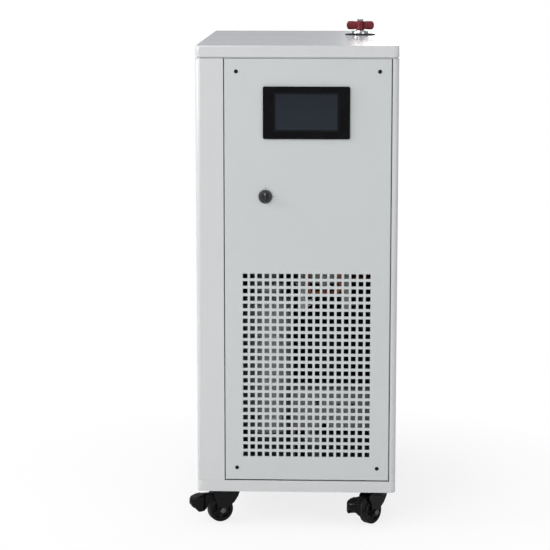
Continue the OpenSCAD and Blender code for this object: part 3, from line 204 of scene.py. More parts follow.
def shifted(shell, offset):
    # every point plus the offset
    return shell[0] + np.array(offset), shell[1]


def place(origin, along, across=None):
    # matrix that sends z to along and x to across
    w = Vector(along).normalized()
    guess = Vector((0, 0, 1)) if abs(w.z) < 0.9 else Vector((1, 0, 0))
    u = Vector(across) if across is not None else guess
    u = (u - w * u.dot(w)).normalized()
    v = w.cross(u)
    m = Matrix.Identity(4)
    for i in range(3):
        m[i][0], m[i][1], m[i][2], m[i][3] = u[i], v[i], w[i], origin[i]
    return m


def makePiece(name, shells, material, body="cabinet", sharp=38, attribute=None):
    # joins the shells into one mesh, closes their doubles and turns their faces outwards
    verts = np.concatenate([pts for pts, faces in shells])
    starts = np.cumsum([0] + [len(pts) for pts, faces in shells])
    faces = np.concatenate([faces + start for (pts, faces), start in zip(shells, starts)])
    mesh = bpy.data.meshes.new(name)
    mesh.from_pydata(verts.tolist(), [], faces.tolist())
    bm = bmesh.new()
    bm.from_mesh(mesh)
    bmesh.ops.remove_doubles(bm, verts=bm.verts, dist=1e-7)
    bmesh.ops.dissolve_degenerate(bm, edges=bm.edges, dist=1e-8)
    bmesh.ops.recalc_face_normals(bm, faces=bm.faces)
    bm.to_mesh(mesh)
    bm.free()
    mesh.polygons.foreach_set("use_smooth", np.ones(len(mesh.polygons), bool))
    mesh.set_sharp_from_angle(angle=math.radians(sharp))
    if attribute is not None:
        co = np.empty(len(mesh.vertices) * 3)
        mesh.vertices.foreach_get("co", co)
        layer = mesh.attributes.new(attribute[0], 'FLOAT', 'POINT')
        layer.data.foreach_set("value", attribute[1](co.reshape(-1, 3)).astype(float))
    mesh.materials.append(material)
    ob = bpy.data.objects.new(name, mesh)
    bpy.context.scene.collection.objects.link(ob)
    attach(ob, body)
    return ob


# nodes and node groups that several materials share

def mathNode(tree, operation, *sources):
    # each source is a socket or a number
    n = tree.nodes.new('ShaderNodeMath')
    n.operation = operation
    for k, source in enumerate(sources):
        if isinstance(source, (int, float)):
            n.inputs[k].default_value = source
        else:
            tree.links.new(source, n.inputs[k])
    return n.outputs['Value']


def spanNode(tree, source, fromMin, fromMax, toMin=0, toMax=1):
    # carries the source from one span of values to another
    n = tree.nodes.new('ShaderNodeMapRange')
    n.inputs['From Min'].default_value = fromMin
    n.inputs['From Max'].default_value = fromMax
    n.inputs['To Min'].default_value = toMin
    n.inputs['To Max'].default_value = toMax
    tree.links.new(source, n.inputs['Value'])
    return n.outputs['Result']


def newGroup(name, inputs, outputs):
    # a shader group with its own sockets, each of them a name and a kind, an input also a value
    g = bpy.data.node_groups.new(name, 'ShaderNodeTree')
    for label, kind, value in inputs:
        s = g.interface.new_socket(label, in_out='INPUT', socket_type=kind)
        s.default_value = value
    for label, kind in outputs:
        g.interface.new_socket(label, in_out='OUTPUT', socket_type=kind)
    gi = g.nodes.new('NodeGroupInput')
    go = g.nodes.new('NodeGroupOutput')
    gi.location, go.location = (-900, 0), (600, 0)
    return g, gi, go


# soft uneven bumps, like sprayed powder or moulded plastic
peelGroup, gi, go = newGroup("fine peel",
                             [("Scale", 'NodeSocketFloat', 700), ("Depth", 'NodeSocketFloat', 0.00004)],
                             [("Normal", 'NodeSocketVector')])
g = peelGroup
where = g.nodes.new('ShaderNodeTexCoord')
grain = g.nodes.new('ShaderNodeTexNoise')
grain.inputs['Detail'].default_value = 3
grain.inputs['Roughness'].default_value = 0.55
bump = g.nodes.new('ShaderNodeBump')
bump.inputs['Strength'].default_value = 0.6
g.links.new(where.outputs['Object'], grain.inputs['Vector'])
g.links.new(gi.outputs['Scale'], grain.inputs['Scale'])
g.links.new(grain.outputs['Fac'], bump.inputs['Height'])
g.links.new(gi.outputs['Depth'], bump.inputs['Distance'])
g.links.new(bump.outputs['Normal'], go.inputs['Normal'])

# broad, low clouds for uneven colour and gloss
cloudGroup, gi, go = newGroup("broad clouds", [("Scale", 'NodeSocketFloat', 4)], [("Fac", 'NodeSocketFloat')])
g = cloudGroup
where = g.nodes.new('ShaderNodeTexCoord')
cloud = g.nodes.new('ShaderNodeTexNoise')
cloud.inputs['Detail'].default_value = 4
cloud.inputs['Roughness'].default_value = 0.6
g.links.new(where.outputs['Object'], cloud.inputs['Vector'])
g.links.new(gi.outputs['Scale'], cloud.inputs['Scale'])
g.links.new(spanNode(g, cloud.outputs['Fac'], 0.3, 0.7), go.inputs['Fac'])

# marks drawn out along one direction, like brushed or turned metal
brushGroup, gi, go = newGroup("brush marks",
                              [("Stretch", 'NodeSocketVector', (40, 40, 900)),
                               ("Depth", 'NodeSocketFloat', 0.00002)],
                              [("Fac", 'NodeSocketFloat'), ("Normal", 'NodeSocketVector')])
g = brushGroup
where = g.nodes.new('ShaderNodeTexCoord')
scale = g.nodes.new('ShaderNodeVectorMath')
scale.operation = 'MULTIPLY'
marks = g.nodes.new('ShaderNodeTexNoise')
marks.inputs['Scale'].default_value = 1
marks.inputs['Detail'].default_value = 5
marks.inputs['Roughness'].default_value = 0.65
bump = g.nodes.new('ShaderNodeBump')
bump.inputs['Strength'].default_value = 0.5
g.links.new(where.outputs['Object'], scale.inputs[0])
g.links.new(gi.outputs['Stretch'], scale.inputs[1])
g.links.new(scale.outputs['Vector'], marks.inputs['Vector'])
g.links.new(marks.outputs['Fac'], bump.inputs['Height'])
g.links.new(gi.outputs['Depth'], bump.inputs['Distance'])
g.links.new(marks.outputs['Fac'], go.inputs['Fac'])
g.links.new(bump.outputs['Normal'], go.inputs['Normal'])

# zinc flowers
flowerGroup, gi, go = newGroup("zinc flowers", [("Scale", 'NodeSocketFloat', 90)],
                               [("Fac", 'NodeSocketFloat')])
g = flowerGroup
where = g.nodes.new('ShaderNodeTexCoord')
cells = g.nodes.new('ShaderNodeTexVoronoi')
pick = g.nodes.new('ShaderNodeSeparateColor')
g.links.new(where.outputs['Object'], cells.inputs['Vector'])
g.links.new(gi.outputs['Scale'], cells.inputs['Scale'])
g.links.new(cells.outputs['Color'], pick.inputs['Color'])
g.links.new(pick.outputs['Red'], go.inputs['Fac'])


def useGroup(tree, group, **values):
    n = tree.nodes.new('ShaderNodeGroup')
    n.node_tree = group
    for key, value in values.items():
        n.inputs[key].default_value = value
    return n


def blankMaterial(name, rough, metal=0.0, coat=0.0, coatRough=0.05):
    # a Principled material with its constant values
    m = bpy.data.materials.new(name)
    m.use_nodes = True
    shader = m.node_tree.nodes["Principled BSDF"]
    shader.inputs['Roughness'].default_value = rough
    shader.inputs['Metallic'].default_value = metal
    shader.inputs['IOR'].default_value = 1.5
    shader.inputs['Coat Weight'].default_value = coat
    shader.inputs['Coat Roughness'].default_value = coatRough
    return m, m.node_tree, shader


def varyColour(tree, shader, source, light, dark):
    # source drives the colour from dark to light
    mix = tree.nodes.new('ShaderNodeMix')
    mix.data_type = 'RGBA'
    mix.inputs['A'].default_value = (*dark, 1)
    mix.inputs['B'].default_value = (*light, 1)
    tree.links.new(source, mix.inputs['Factor'])
    tree.links.new(mix.outputs['Result'], shader.inputs['Base Color'])


def varyRough(tree, shader, source, low, high):
    tree.links.new(spanNode(tree, source, 0, 1, low, high), shader.inputs['Roughness'])


def coated(name, light, dark, rough, peel, depth, clouds, gloss=0.5, coat=0.0):
    # gloss is how strongly the surface mirrors its surroundings
    m, tree, shader = blankMaterial(name, rough[0], coat=coat)
    shader.inputs['Specular IOR Level'].default_value = gloss
    c = useGroup(tree, cloudGroup, Scale=clouds)
    varyColour(tree, shader, c.outputs['Fac'], light, dark)
    varyRough(tree, shader, c.outputs['Fac'], rough[0], rough[1])
    p = useGroup(tree, peelGroup, Scale=peel, Depth=depth)
    tree.links.new(p.outputs['Normal'], shader.inputs['Normal'])
    return m


def brushed(name, light, dark, rough, marks, depth, metal=1.0):
    # marks is how dense the brush marks run along x, y and z
    m, tree, shader = blankMaterial(name, rough[0], metal)
    b = useGroup(tree, brushGroup, Stretch=marks, Depth=depth)
    varyColour(tree, shader, b.outputs['Fac'], light, dark)
    varyRough(tree, shader, b.outputs['Fac'], rough[0], rough[1])
    tree.links.new(b.outputs['Normal'], shader.inputs['Normal'])
    return m


cabinetPaint = coated("cabinet paint", (0.610, 0.616, 0.613), (0.600, 0.604, 0.601),
                      (0.285, 0.32), 520, 0.00003, 3.5)
coverPaint = coated("cover paint", (0.618, 0.622, 0.622), (0.608, 0.611, 0.611),
                    (0.17, 0.20), 420, 0.00001, 3.0)
panelPaint = coated("panel paint", (0.566, 0.588, 0.580), (0.556, 0.576, 0.569),
                    (0.285, 0.32), 520, 0.00003, 3.5)
innerPaint = coated("inner paint", (0.42, 0.42, 0.42), (0.36, 0.36, 0.36), (0.4, 0.5), 600, 0.00004, 8)
# a darker copy of the inner paint for the compressor stand: painted shade for the dim inside of the cabinet
shadedStandPaint = coated("shaded stand paint", (0.27, 0.27, 0.265), (0.22, 0.22, 0.216), (0.4, 0.5), 600, 0.00004, 8)
blackPlastic = coated("black plastic", (0.0035, 0.0037, 0.0042), (0.0018, 0.0019, 0.0022),
                      (0.22, 0.32), 1800, 0.00003, 20, 0.14)
knobPlastic = coated("knob plastic", (0.034, 0.035, 0.036), (0.026, 0.027, 0.028),
                     (0.29, 0.36), 1800, 0.00003, 20, 0.3)
darkPlastic = coated("dark plastic", (0.062, 0.065, 0.066), (0.046, 0.048, 0.049),
                     (0.34, 0.44), 2200, 0.00004, 25, 0.35)
lightPlastic = coated("light plastic", (0.62, 0.62, 0.58), (0.54, 0.54, 0.5), (0.35, 0.45), 1500, 0.00003, 18)
blackEnamel = coated("black enamel", (0.0040, 0.0041, 0.0045), (0.0020, 0.0021, 0.0024),
                     (0.18, 0.30), 420, 0.00008, 14, 0.18)
motorPaint = coated("motor paint", (0.10, 0.115, 0.14), (0.075, 0.085, 0.105), (0.35, 0.5), 500, 0.00008, 12)
redCoat = coated("red coating", (0.20, 0.010, 0.018), (0.11, 0.003, 0.007),
                 (0.26, 0.40), 900, 0.00006, 40, 0.3, 0.08)
rubber = coated("rubber", (0.010, 0.010, 0.010), (0.006, 0.006, 0.006), (0.55, 0.7), 1500, 0.00006, 22, 0.25)
foam = coated("pipe foam", (0.014, 0.014, 0.014), (0.008, 0.008, 0.008), (0.75, 0.85), 700, 0.0003, 30, 0.2)
# dark grey foam for the band on the vessel's foot, which is painted shade there
shadeBandFoam = coated("shade band foam", (0.060, 0.060, 0.060), (0.044, 0.044, 0.044),
                  (0.75, 0.85), 700, 0.0003, 30, 0.3)
stainless = brushed("stainless steel", (0.62, 0.62, 0.61), (0.48, 0.48, 0.48),
                    (0.24, 0.42), (25, 25, 900), 0.000015)
darkSteel = brushed("blackened steel", (0.16, 0.16, 0.165), (0.09, 0.09, 0.095),
                    (0.3, 0.42), (90, 90, 700), 0.00001)
blasted = brushed("blasted steel", (0.42, 0.43, 0.43), (0.33, 0.34, 0.34),
                  (0.5, 0.62), (60, 60, 700), 0.00001, 0.25)
chrome = brushed("chrome", (0.58, 0.58, 0.59), (0.50, 0.50, 0.52), (0.14, 0.22), (120, 120, 500), 0.000004)
fins = brushed("aluminium fins", (0.66, 0.67, 0.68), (0.5, 0.51, 0.52), (0.35, 0.5), (60, 400, 60), 0.00002)

# hot-dip zinc: every flower has its own grey and gloss
zinc, tree, shader = blankMaterial("zinc", 0.4, 1.0)
f = useGroup(tree, flowerGroup, Scale=110.0)
varyColour(tree, shader, f.outputs['Fac'], (0.56, 0.57, 0.59), (0.4, 0.41, 0.43))
varyRough(tree, shader, f.outputs['Fac'], 0.32, 0.5)

# copper with browned patches
copper, tree, shader = blankMaterial("copper", 0.3, 1.0)
c = useGroup(tree, cloudGroup, Scale=34.0)
varyColour(tree, shader, c.outputs['Fac'], (0.46, 0.16, 0.09), (0.22, 0.07, 0.045))
varyRough(tree, shader, c.outputs['Fac'], 0.46, 0.24)

# tread darker and more worn where it rolls
tyre, tree, shader = blankMaterial("tyre", 0.5)
worn = tree.nodes.new('ShaderNodeAttribute')
worn.attribute_name = "worn"
c = useGroup(tree, cloudGroup, Scale=60.0)
both = mathNode(tree, 'MULTIPLY', worn.outputs['Fac'], c.outputs['Fac'])
shader.inputs['Specular IOR Level'].default_value = 0.2
varyColour(tree, shader, both, (0.028, 0.028, 0.027), (0.006, 0.006, 0.006))
varyRough(tree, shader, both, 0.4, 0.7)
p = useGroup(tree, peelGroup, Scale=1400.0, Depth=0.00006)
tree.links.new(p.outputs['Normal'], shader.inputs['Normal'])

# the display: a dark slate field inside a black border, from the glass's own place, with the field painted
# lighter towards the bottom as a painted reflection
screen = {"halfWide": 0.0765, "halfHigh": 0.0445, "border": 0.0012, "fade": 0.05}
glassLow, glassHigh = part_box("touchscreen_glass")
screenMid = ((glassLow[0] + glassHigh[0]) / 2, (glassLow[2] + glassHigh[2]) / 2)
screenGlass, tree, shader = blankMaterial("screen glass", 0.07, coat=0.08, coatRough=0.02)
shader.inputs['Specular IOR Level'].default_value = 0.25
where = tree.nodes.new('ShaderNodeTexCoord')
parts = tree.nodes.new('ShaderNodeSeparateXYZ')
tree.links.new(where.outputs['Object'], parts.inputs['Vector'])
offX = mathNode(tree, 'SUBTRACT', parts.outputs['X'], screenMid[0])
offZ = mathNode(tree, 'SUBTRACT', parts.outputs['Z'], screenMid[1])
wide, high, border = screen["halfWide"], screen["halfHigh"], screen["border"]
insideX = spanNode(tree, mathNode(tree, 'ABSOLUTE', offX), wide, wide - border)
insideZ = spanNode(tree, mathNode(tree, 'ABSOLUTE', offZ), high, high - border)
field = mathNode(tree, 'MULTIPLY', insideX, insideZ)
# painted reflection: the slate field grows lighter from its top to its bottom
reflectionRamp = spanNode(tree, offZ, screen["fade"], -screen["fade"], 0.72)
paintedReflection = mathNode(tree, 'MULTIPLY', field, reflectionRamp)
varyColour(tree, shader, paintedReflection, (0.019, 0.0235, 0.032), (0.0035, 0.004, 0.0045))
print("materials made")

# which node gets which material
casterEnds = ("front_left", "front_right", "rear_left", "rear_right")
nodeFinish = [
    (cabinetPaint, ["base_tray", "left_side_panel", "right_side_panel", "front_frame", "rear_panel"]),
    (coverPaint, ["top_cover"]), (panelPaint, ["front_panel"]), (innerPaint, ["support_bracket"]),
    (shadedStandPaint, ["compressor_stand"]), (motorPaint, ["pump_motor"]), (fins, ["condenser_coil"]),
    (blackPlastic,
     ["touchscreen_bezel", "switch_body", "cable_gland", "pedal_front_left", "pedal_front_right"]),
    (darkPlastic, ["touchscreen_housing", "switch_collar"]), (knobPlastic, ["switch_knob"]),
    (lightPlastic, ["contactors", "circuit_breaker"]), (screenGlass, ["touchscreen_glass"]),
    (blackEnamel, ["front_panel_screws", "compressor", "fan_motor", "fan_rotor"]),
    (blackEnamel, ["fork_" + end for end in casterEnds]), (tyre, ["wheel_" + end for end in casterEnds]),
    (zinc, ["equipment_shelf", "control_plate", "fan_shroud", "caster_plates", "caster_bolts"]),
    (zinc, ["axle_" + end for end in casterEnds]), (rubber, ["compressor_mounts", "cover_grommet"]),
    (blasted, ["circulation_vessel", "heater_head"]), (copper, ["refrigerant_pipes", "filter_drier"]),
    (stainless, ["plate_heat_exchanger", "pump_head", "expansion_tank", "fluid_pipes", "filler_riser",
                 "circulation_ports", "drain_port"]),
    (chrome, ["valve_body", "valve_stem", "handle_nut"]), (redCoat, ["valve_handle"]),
]
for material, names in nodeFinish:
    for name in names:
        for s in nodes[name].material_slots:
            s.link = 'OBJECT'
            s.material = material

# broken edges, so that the sheet and the mouldings catch the light
edgeWidths = {
    0.0003: ["front_frame", "rear_panel", "touchscreen_glass", "front_panel_screws"],
    0.0004: ["switch_collar", "compressor_stand", "support_bracket"],
    0.0005: ["left_side_panel", "right_side_panel", "caster_plates"],
    0.0006: ["top_cover", "base_tray", "caster_bolts", "handle_nut", "valve_stem"],
    0.0007: ["touchscreen_bezel", "switch_knob"],
    0.0008: ["drain_port", "cable_gland", "filler_riser"],
    0.001: ["heater_head", "pump_motor", "contactors", "circuit_breaker"],
    0.0011: ["fork_" + end for end in casterEnds],
    0.0012: ["compressor"],
    0.002: ["pump_head", "expansion_tank"],
}
for name, width in [(name, width) for width, names in edgeWidths.items() for name in names]:
    ob = nodes[name]
    weld = ob.modifiers.new("weld", 'WELD')
    weld.merge_threshold = 0.00002
    bevel = ob.modifiers.new("bevel", 'BEVEL')
    bevel.width = width
    bevel.segments = 2
    bevel.limit_method = 'ANGLE'
    bevel.angle_limit = math.radians(42)
    bevel.harden_normals = True
print("nodes painted")

# casters, each turned at its own angle

casters = {
    "front_left": {"x": -0.180, "y": 0.060, "turn": 25, "braked": True},
    "front_right": {"x": 0.200, "y": 0.060, "turn": 50, "braked": True},
    "rear_left": {"x": -0.180, "y": 0.690, "turn": 75, "braked": False},
    "rear_right": {"x": 0.200, "y": 0.690, "turn": 100, "braked": False},
}
wheel = {"radius": 0.032, "hubHalf": 0.0132, "trail": 0.018, "bore": 0.00405, "spokes": 6}


def casterMatrix(c):
    # a caster's own frame: on the floor under its swivel, x towards its wheel
    turn = Matrix.Rotation(math.radians(180 + c["turn"]), 4, 'Z')
    return Matrix.Translation(spot(c["x"], c["y"], 0)) @ turn


def wheelProfile():
    # one side from the bore to the middle of the tread, then mirrored
    w = wheel
    side = [(w["bore"], w["hubHalf"]), (0.0079, w["hubHalf"]), (0.0086, w["hubHalf"] - 0.0006),
            (0.0091, 0.0096)]
    side += [(0.0097, 0.0084), (0.0108, 0.0078)]
    side += [(r, 0.0078) for r in np.linspace(0.012, 0.0205, 9)]
    side += [(0.0216, 0.0082), (0.0226, 0.0096), (0.0234, 0.0113), (0.0243, 0.0118), (0.0252, 0.0118)]
    side += [(0.0256, 0.0112), (0.0261, 0.0112), (0.0265, 0.0119)]
    side += arcPoints(0.0281, 0.0082, 0.0038, 90, 6, 9)
    side += [(0.03198, 0.006), (0.032, 0.003), (0.03196, 0.0012), (0.032, 0.0004)]
    return side + [(r, -h) for r, h in reversed(side)] + [side[0]]


def spokePockets(r, h, a):
    # the web sinks between the spokes
    window = np.clip((r - 0.0108) / 0.0016, 0, 1) * np.clip((0.0214 - r) / 0.0016, 0, 1)
    pulse = np.clip(0.5 - 0.9 * np.cos(wheel["spokes"] * a), 0, 1)
    return -np.sign(h) * 0.0034 * window * pulse * pulse * (3 - 2 * pulse)


pedal = {"pivotU": 0.034, "pivotZ": 0.0717, "arm": 0.047, "radius": 0.020, "wall": 0.003, "neck": 0.011,
         "toe": 0.012, "toeZ": -0.012, "ribs": (0.0292, 0.0369, 0.0447), "boss": 0.006, "bossHalf": 0.0132,
         "bore": 0.0026,
         "top": [(-0.006, 0.0038), (0.0, 0.004), (0.020, 0.0055), (0.038, 0.0045), (0.055, 0.0)],
         "low": [(-0.006, -0.0038), (0.0, -0.0072), (0.008, -0.0105), (0.0147, -0.0152), (0.019, -0.0205),
                 (0.0225, -0.0265), (0.0255, -0.0335), (0.032, -0.0365), (0.050, -0.036),
                 (0.0635, -0.0205)]}


def pedalEdge(points, k, up):
    # height of the side view's upper or lower line at k, round at the toe
    p = pedal
    toeX = p["arm"] + p["radius"] - p["toe"]
    if k > points[-1][0]:
        return p["toeZ"] + up * math.sqrt(max(p["toe"] ** 2 - (k - toeX) ** 2, 0))
    near = np.linspace(k - 0.0016, min(k + 0.0016, points[-1][0]), 9)
    return float(np.interp(near, *zip(*points)).mean())


def bendAcross(reach, corner, n):
    # quarter round from (reach, -corner) to (reach - corner, 0)
    t = np.linspace(0, math.pi / 2, n)
    return reach - corner + corner * np.cos(t), -corner + corner * np.sin(t)


def pedalShell():
    # channel sections from the boss to the toe: crowned top with grip ribs, hollow from below under the tread
    p = pedal
    arm, r = p["arm"], p["radius"]
    along = np.concatenate([np.linspace(-0.0045, arm - r, 34),
                            arm - r * np.cos(np.linspace(0, math.pi, 90))[1:]])
    rings = []
    for k in along:
        lobe = math.sqrt(max(r * r - (k - arm) ** 2, 0)) if k > arm - r else 0
        neck = p["neck"] if k < arm else 0
        half = min((lobe ** 6 + neck ** 6) ** (1 / 6), r)
        top, low = pedalEdge(p["top"], k, 1), pedalEdge(p["low"], k, -1)
        corner = min(0.0056, half, (top - low) * 0.45)
        ribs = sum(math.exp(-((k - q) / 0.0014) ** 4) for q in p["ribs"]) * 0.0011
        hollow = math.sqrt(max((r - p["wall"]) ** 2 - (k - arm) ** 2, 0)) if k > arm - r + p["wall"] else 0
        roof = low + (top - p["wall"] - low) * min(1, hollow / 0.003)
        cx, cz = bendAcross(half, corner, 8)
        y = np.concatenate([np.full(5, half), cx, np.linspace(half - corner, 0, 12)[1:]])
        z = np.concatenate([np.linspace(low, top - corner, 6)[:5], top + cz, np.full(11, top)])
        flat = np.clip((half - 0.0045 - np.abs(y)) / 0.0012, 0, 1)
        crown = 0.0005 * (1 - (y / max(half, 1e-6)) ** 2) * min(1, half / r)
        z = z + (np.abs(y) < half - corner + 1e-9) * (crown + flat * ribs)
        bx, bz = bendAcross(hollow, min(0.003, hollow), 5)
        iy = np.concatenate([[hollow, hollow], bx, [0]])
        iz = np.concatenate([[low, (low + roof) / 2], roof + bz * (roof - low > 0.004), [roof]])
        y = np.concatenate([y, -y[-2::-1], -iy, iy[-2::-1]])
        z = np.concatenate([z, z[-2::-1], iz, iz[-2::-1]])
        rings.append(np.stack([np.full_like(y, k), y, z], -1))
    first = np.repeat(rings[0].mean(0)[None], len(rings[0]), 0)
    last = np.repeat(rings[-1].mean(0)[None], len(rings[0]), 0)
    return sheetShell(np.array([first] + rings + [last]), closeV=True)


axle = {"reach": 0.0175, "across": 0.015, "deep": 0.005, "pitch": 0.0004}
for corner, c in casters.items():
    base = casterMatrix(c)
    axleAt = base @ Vector((wheel["trail"], 0, wheel["radius"]))
    across = base.to_3x3() @ Vector((0, 1, 0))
    up = Vector((0, 0, 1))
    rim = turned(wheelProfile(), 120, spokePockets)
    centre = np.array(axleAt)
    side = np.array(across)

    def rolled(co, centre=centre, side=side):
        # 1 on the tread's middle, 0 on the sides and the hub
        off = co - centre
        flat = off - np.outer(off @ side, side)
        outer = np.clip((np.linalg.norm(flat, axis=1) - 0.030) / 0.0015, 0, 1)
        return outer * np.clip((0.011 - np.abs(off @ side)) / 0.003, 0, 1)

    rim = moved(rim, place(axleAt, across, up))
    ob = makePiece("roller_" + corner, [rim], tyre, "wheel_" + corner, 30, ("worn", rolled))
    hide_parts("wheel_" + corner)

    # axle: domed head on one side, nut and a threaded end on the other
    reach = axle["reach"]
    shells = []
    for s in (1, -1):
        start = axleAt + across * reach * s
        nut = slabShell(hexOutline(axle["across"], 0.0006), axle["deep"], 0.0007)
        shells.append(moved(nut, place(start, across * s, up)))
    head = [(0, 0.0022), (0.0016, 0.0021), (0.0029, 0.0015), (0.0037, 0.0004), (0.0039, -0.001),
            (0.0039, -0.002), (0, -0.002)]
    shells.append(moved(turned(head, 32), place(axleAt + across * (reach + axle["deep"] - 0.0002), across)))
    bolt = [(0, -reach - 0.0068), (0.0036, -reach - 0.0068)]
    for k in range(8):
        bolt.append((0.004 if k % 2 else 0.0036, -reach - 0.0064 + k * axle["pitch"]))
    bolt += [(0.004, -reach), (0.004, reach + 0.003), (0, reach + 0.003)]
    shells.append(moved(turned(bolt, 32), place(axleAt, across)))
    ob = makePiece("axle_bolt_" + corner, shells, darkSteel, "swivel_" + corner, 32)
    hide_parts("axle_" + corner)

    if c["braked"]:
        pivot = base @ Vector((pedal["pivotU"], 0, pedal["pivotZ"]))
        frameAt = Matrix.Translation(pivot) @ base.to_3x3().to_4x4()
        boss = slabShell(ringOutline(pedal["boss"], 40), 2 * pedal["bossHalf"], 0.0008, hole=pedal["bore"])
        boss = moved(boss, place(pivot - across * pedal["bossHalf"], across, up))
        shells = [moved(pedalShell(), frameAt), boss]
        ob = makePiece("brake_pedal_" + corner, shells, blackPlastic, "pedal_" + corner, 50)
        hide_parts("pedal_" + corner)
print("casters made")

# filling valve

valve = {"x": 0.157, "y": 0.530, "span": 0.074, "handleZ": 0.0258, "flutes": 1500}
valveAt = spot(valve["x"], valve["y"], topZ)


def wingShell():
    # rounded boxes run along x: a bar with swollen, rounded ends and flutes across them
    half = valve["span"] / 2
    x = half * np.sin(np.linspace(-math.pi / 2, math.pi / 2, 110))
    t = np.linspace(0, 2 * math.pi, 56, endpoint=False)
    c, d = np.cos(t), np.sin(t)
    rings = []
    for k in x:
        a = abs(k) / half
        end = math.sqrt(max(1 - max(0, (a - 0.74) / 0.26) ** 2.8, 0))
        high = (0.0102 + 0.0011 * min(1, (a / 0.55) ** 2)) * end
        flutes = 0.00035 * math.cos(k * valve["flutes"]) * (a > 0.3)
        thick = (0.0068 - 0.0010 * math.sin(math.pi * min(1, a * 1.3)) + flutes) * end
        y = thick * np.sign(c) * np.abs(c) ** 0.62
        z = high * np.sign(d) * np.abs(d) ** 0.55
        rings.append(np.stack([np.full_like(t, k), y, z + valve["handleZ"]], -1))
    return sheetShell(np.array(rings), closeV=True)


hub = [(0.00505, 0.0125), (0.0096, 0.0125), (0.0106, 0.0133), (0.0108, 0.0150)]
hub += [(0.0108 - 0.0006 * math.sin(math.pi * k / 8), 0.0150 + 0.0178 * k / 8) for k in range(1, 8)]
hub += [(0.0108, 0.0330), (0.0103, 0.0352), (0.0090, 0.0366), (0.0076, 0.0370), (0.00505, 0.0370),
        (0.00505, 0.0125)]
shells = [shifted(wingShell(), valveAt), shifted(turned(hub, 64), valveAt)]
ob = makePiece("wing_handle", shells, redCoat, "valve", 45)
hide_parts("valve_handle")

# the body: collar with a turned groove, and a nut under the cover
body = [(0, -0.036), (0.0228, -0.036), (0.023, -0.0355), (0.023, 0.0014), (0.0222, 0.0022), (0.0222, 0.0034),
        (0.023, 0.0042)]
body += [(0.023, 0.0086), (0.0226, 0.0096), (0.0214, 0.0106), (0.0176, 0.0112), (0.0170, 0.0108),
         (0.0128, 0.0108)]
body += [(0.0126, 0.0119), (0.0118, 0.012), (0.0052, 0.012), (0.0052, -0.006), (0, -0.006)]
lowerNut = slabShell(hexOutline(0.03695, 0.0012, 4), 0.0242, 0.0012)
shells = [shifted(turned(body, 96), valveAt), shifted(lowerNut, valveAt + Vector((0, 0, -0.060)))]
ob = makePiece("valve_collar", shells, chrome, "cabinet", 28)
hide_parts("valve_body")

# rubber grommet with two lips
lips = [(0.0233, -0.0048), (0.0356, -0.0048), (0.036, -0.0044), (0.036, -0.0020), (0.0357, -0.0018),
        (0.0297, -0.0018)]
lips += [(0.0297, 0.0), (0.0406, 0.0), (0.041, 0.0004)] + arcPoints(0.0392, 0.0009, 0.0018, 0, 80, 6)
lips += [(0.0362, 0.0029), (0.0352, 0.0023), (0.0338, 0.0023), (0.0328, 0.0029), (0.0272, 0.003),
         (0.0262, 0.0026)]
lips += [(0.0246, 0.003), (0.0236, 0.0028), (0.0233, 0.0022), (0.0233, -0.0048)]
ob = makePiece("grommet_lips", [shifted(turned(lips, 96), valveAt)], rubber, "cabinet", 35)
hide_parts("cover_grommet")

# the stem with its threaded end
stem = [(0, 0.043), (0.0036, 0.043), (0.0046, 0.0423)]
for k in range(9):
    stem.append((0.005 if k % 2 else 0.0045, 0.0420 - k * 0.0006))
stem += [(0.00495, 0.0364), (0.00495, -0.005), (0, -0.005)]
ob = makePiece("valve_spindle", [shifted(turned(stem, 40), valveAt)], chrome, "valve", 30)
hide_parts("valve_stem")
print("valve made")

# switch on the front panel

knob = {"x": -0.0775, "z": 0.8465, "radius": 0.0125, "gripOut": 0.0100, "ticks": (0, 90), "tickAt": 0.0215,
        "ribs": 40, "ribAt": 0.01688}
knobAt = spot(knob["x"], 0, knob["z"])


def gripShell():
    # bar of the knob: ovals run along its height, waisted in the middle, rounded at both ends
    half = knob["radius"] - 0.0004
    z = half * np.sin(np.linspace(-math.pi / 2, math.pi / 2, 48))
    t = np.linspace(0, 2 * math.pi, 40, endpoint=False)
    c, d = np.cos(t), np.sin(t)
    rings = []
    for k in z:
        a = abs(k) / half
        end = math.sqrt(max(1 - a ** 3.5, 0))
        wide = (0.0031 + 0.0011 * a) * min(1, end * 1.4)
        x = wide * np.sign(c) * np.abs(c) ** 0.55
        y = -knob["gripOut"] + 0.006 * np.sign(d) * np.abs(d) ** 0.5 * (0.35 + 0.65 * end)
        rings.append(np.stack([x, y, np.full_like(t, k)], -1))
    return sheetShell(np.array(rings), closeV=True)


disc = [(0, -0.0035), (0.004, -0.0035), (0.004, -0.0034), (0.0117, -0.0034), (0.0125, -0.0040),
        (0.0125, -0.0049)]
disc += [(0.0119, -0.0055), (0.0085, -0.0058), (0, -0.0058)]
shaft = [(0, -0.0034), (0.00395, -0.0034), (0.00395, 0.0106), (0, 0.0106)]
knobPlace = place(knobAt, (0, 1, 0))
shells = [shifted(gripShell(), knobAt), moved(turned(disc, 64), knobPlace),
          moved(turned(shaft, 32), knobPlace)]
ob = makePiece("knob_grip", shells, knobPlastic, "switch", 40)
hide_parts("switch_knob")
line = slabShell(boxOutline(0.0011, 0.0052, 0.0003, 3), 0.00022, 0.0001, 1)
line = moved(line, place(knobAt + Vector((0, -0.01595, 0.0072)), (0, -1, 0), (1, 0, 0)))
makePiece("knob_line", [line], lightPlastic, "switch")

# ticks on the panel beside the collar, at the two places of the knob
shells = []
for deg in knob["ticks"]:
    a = math.radians(deg)
    out = Vector((math.sin(a), 0, math.cos(a)))
    tick = slabShell(boxOutline(0.0009, 0.0040, 0.0002, 2), 0.00018, 0.00008, 1)
    tickPlace = place(knobAt + out * knob["tickAt"], (0, -1, 0), out.cross(Vector((0, 1, 0))))
    shells.append(moved(tick, tickPlace))
makePiece("switch_ticks", shells, darkPlastic)

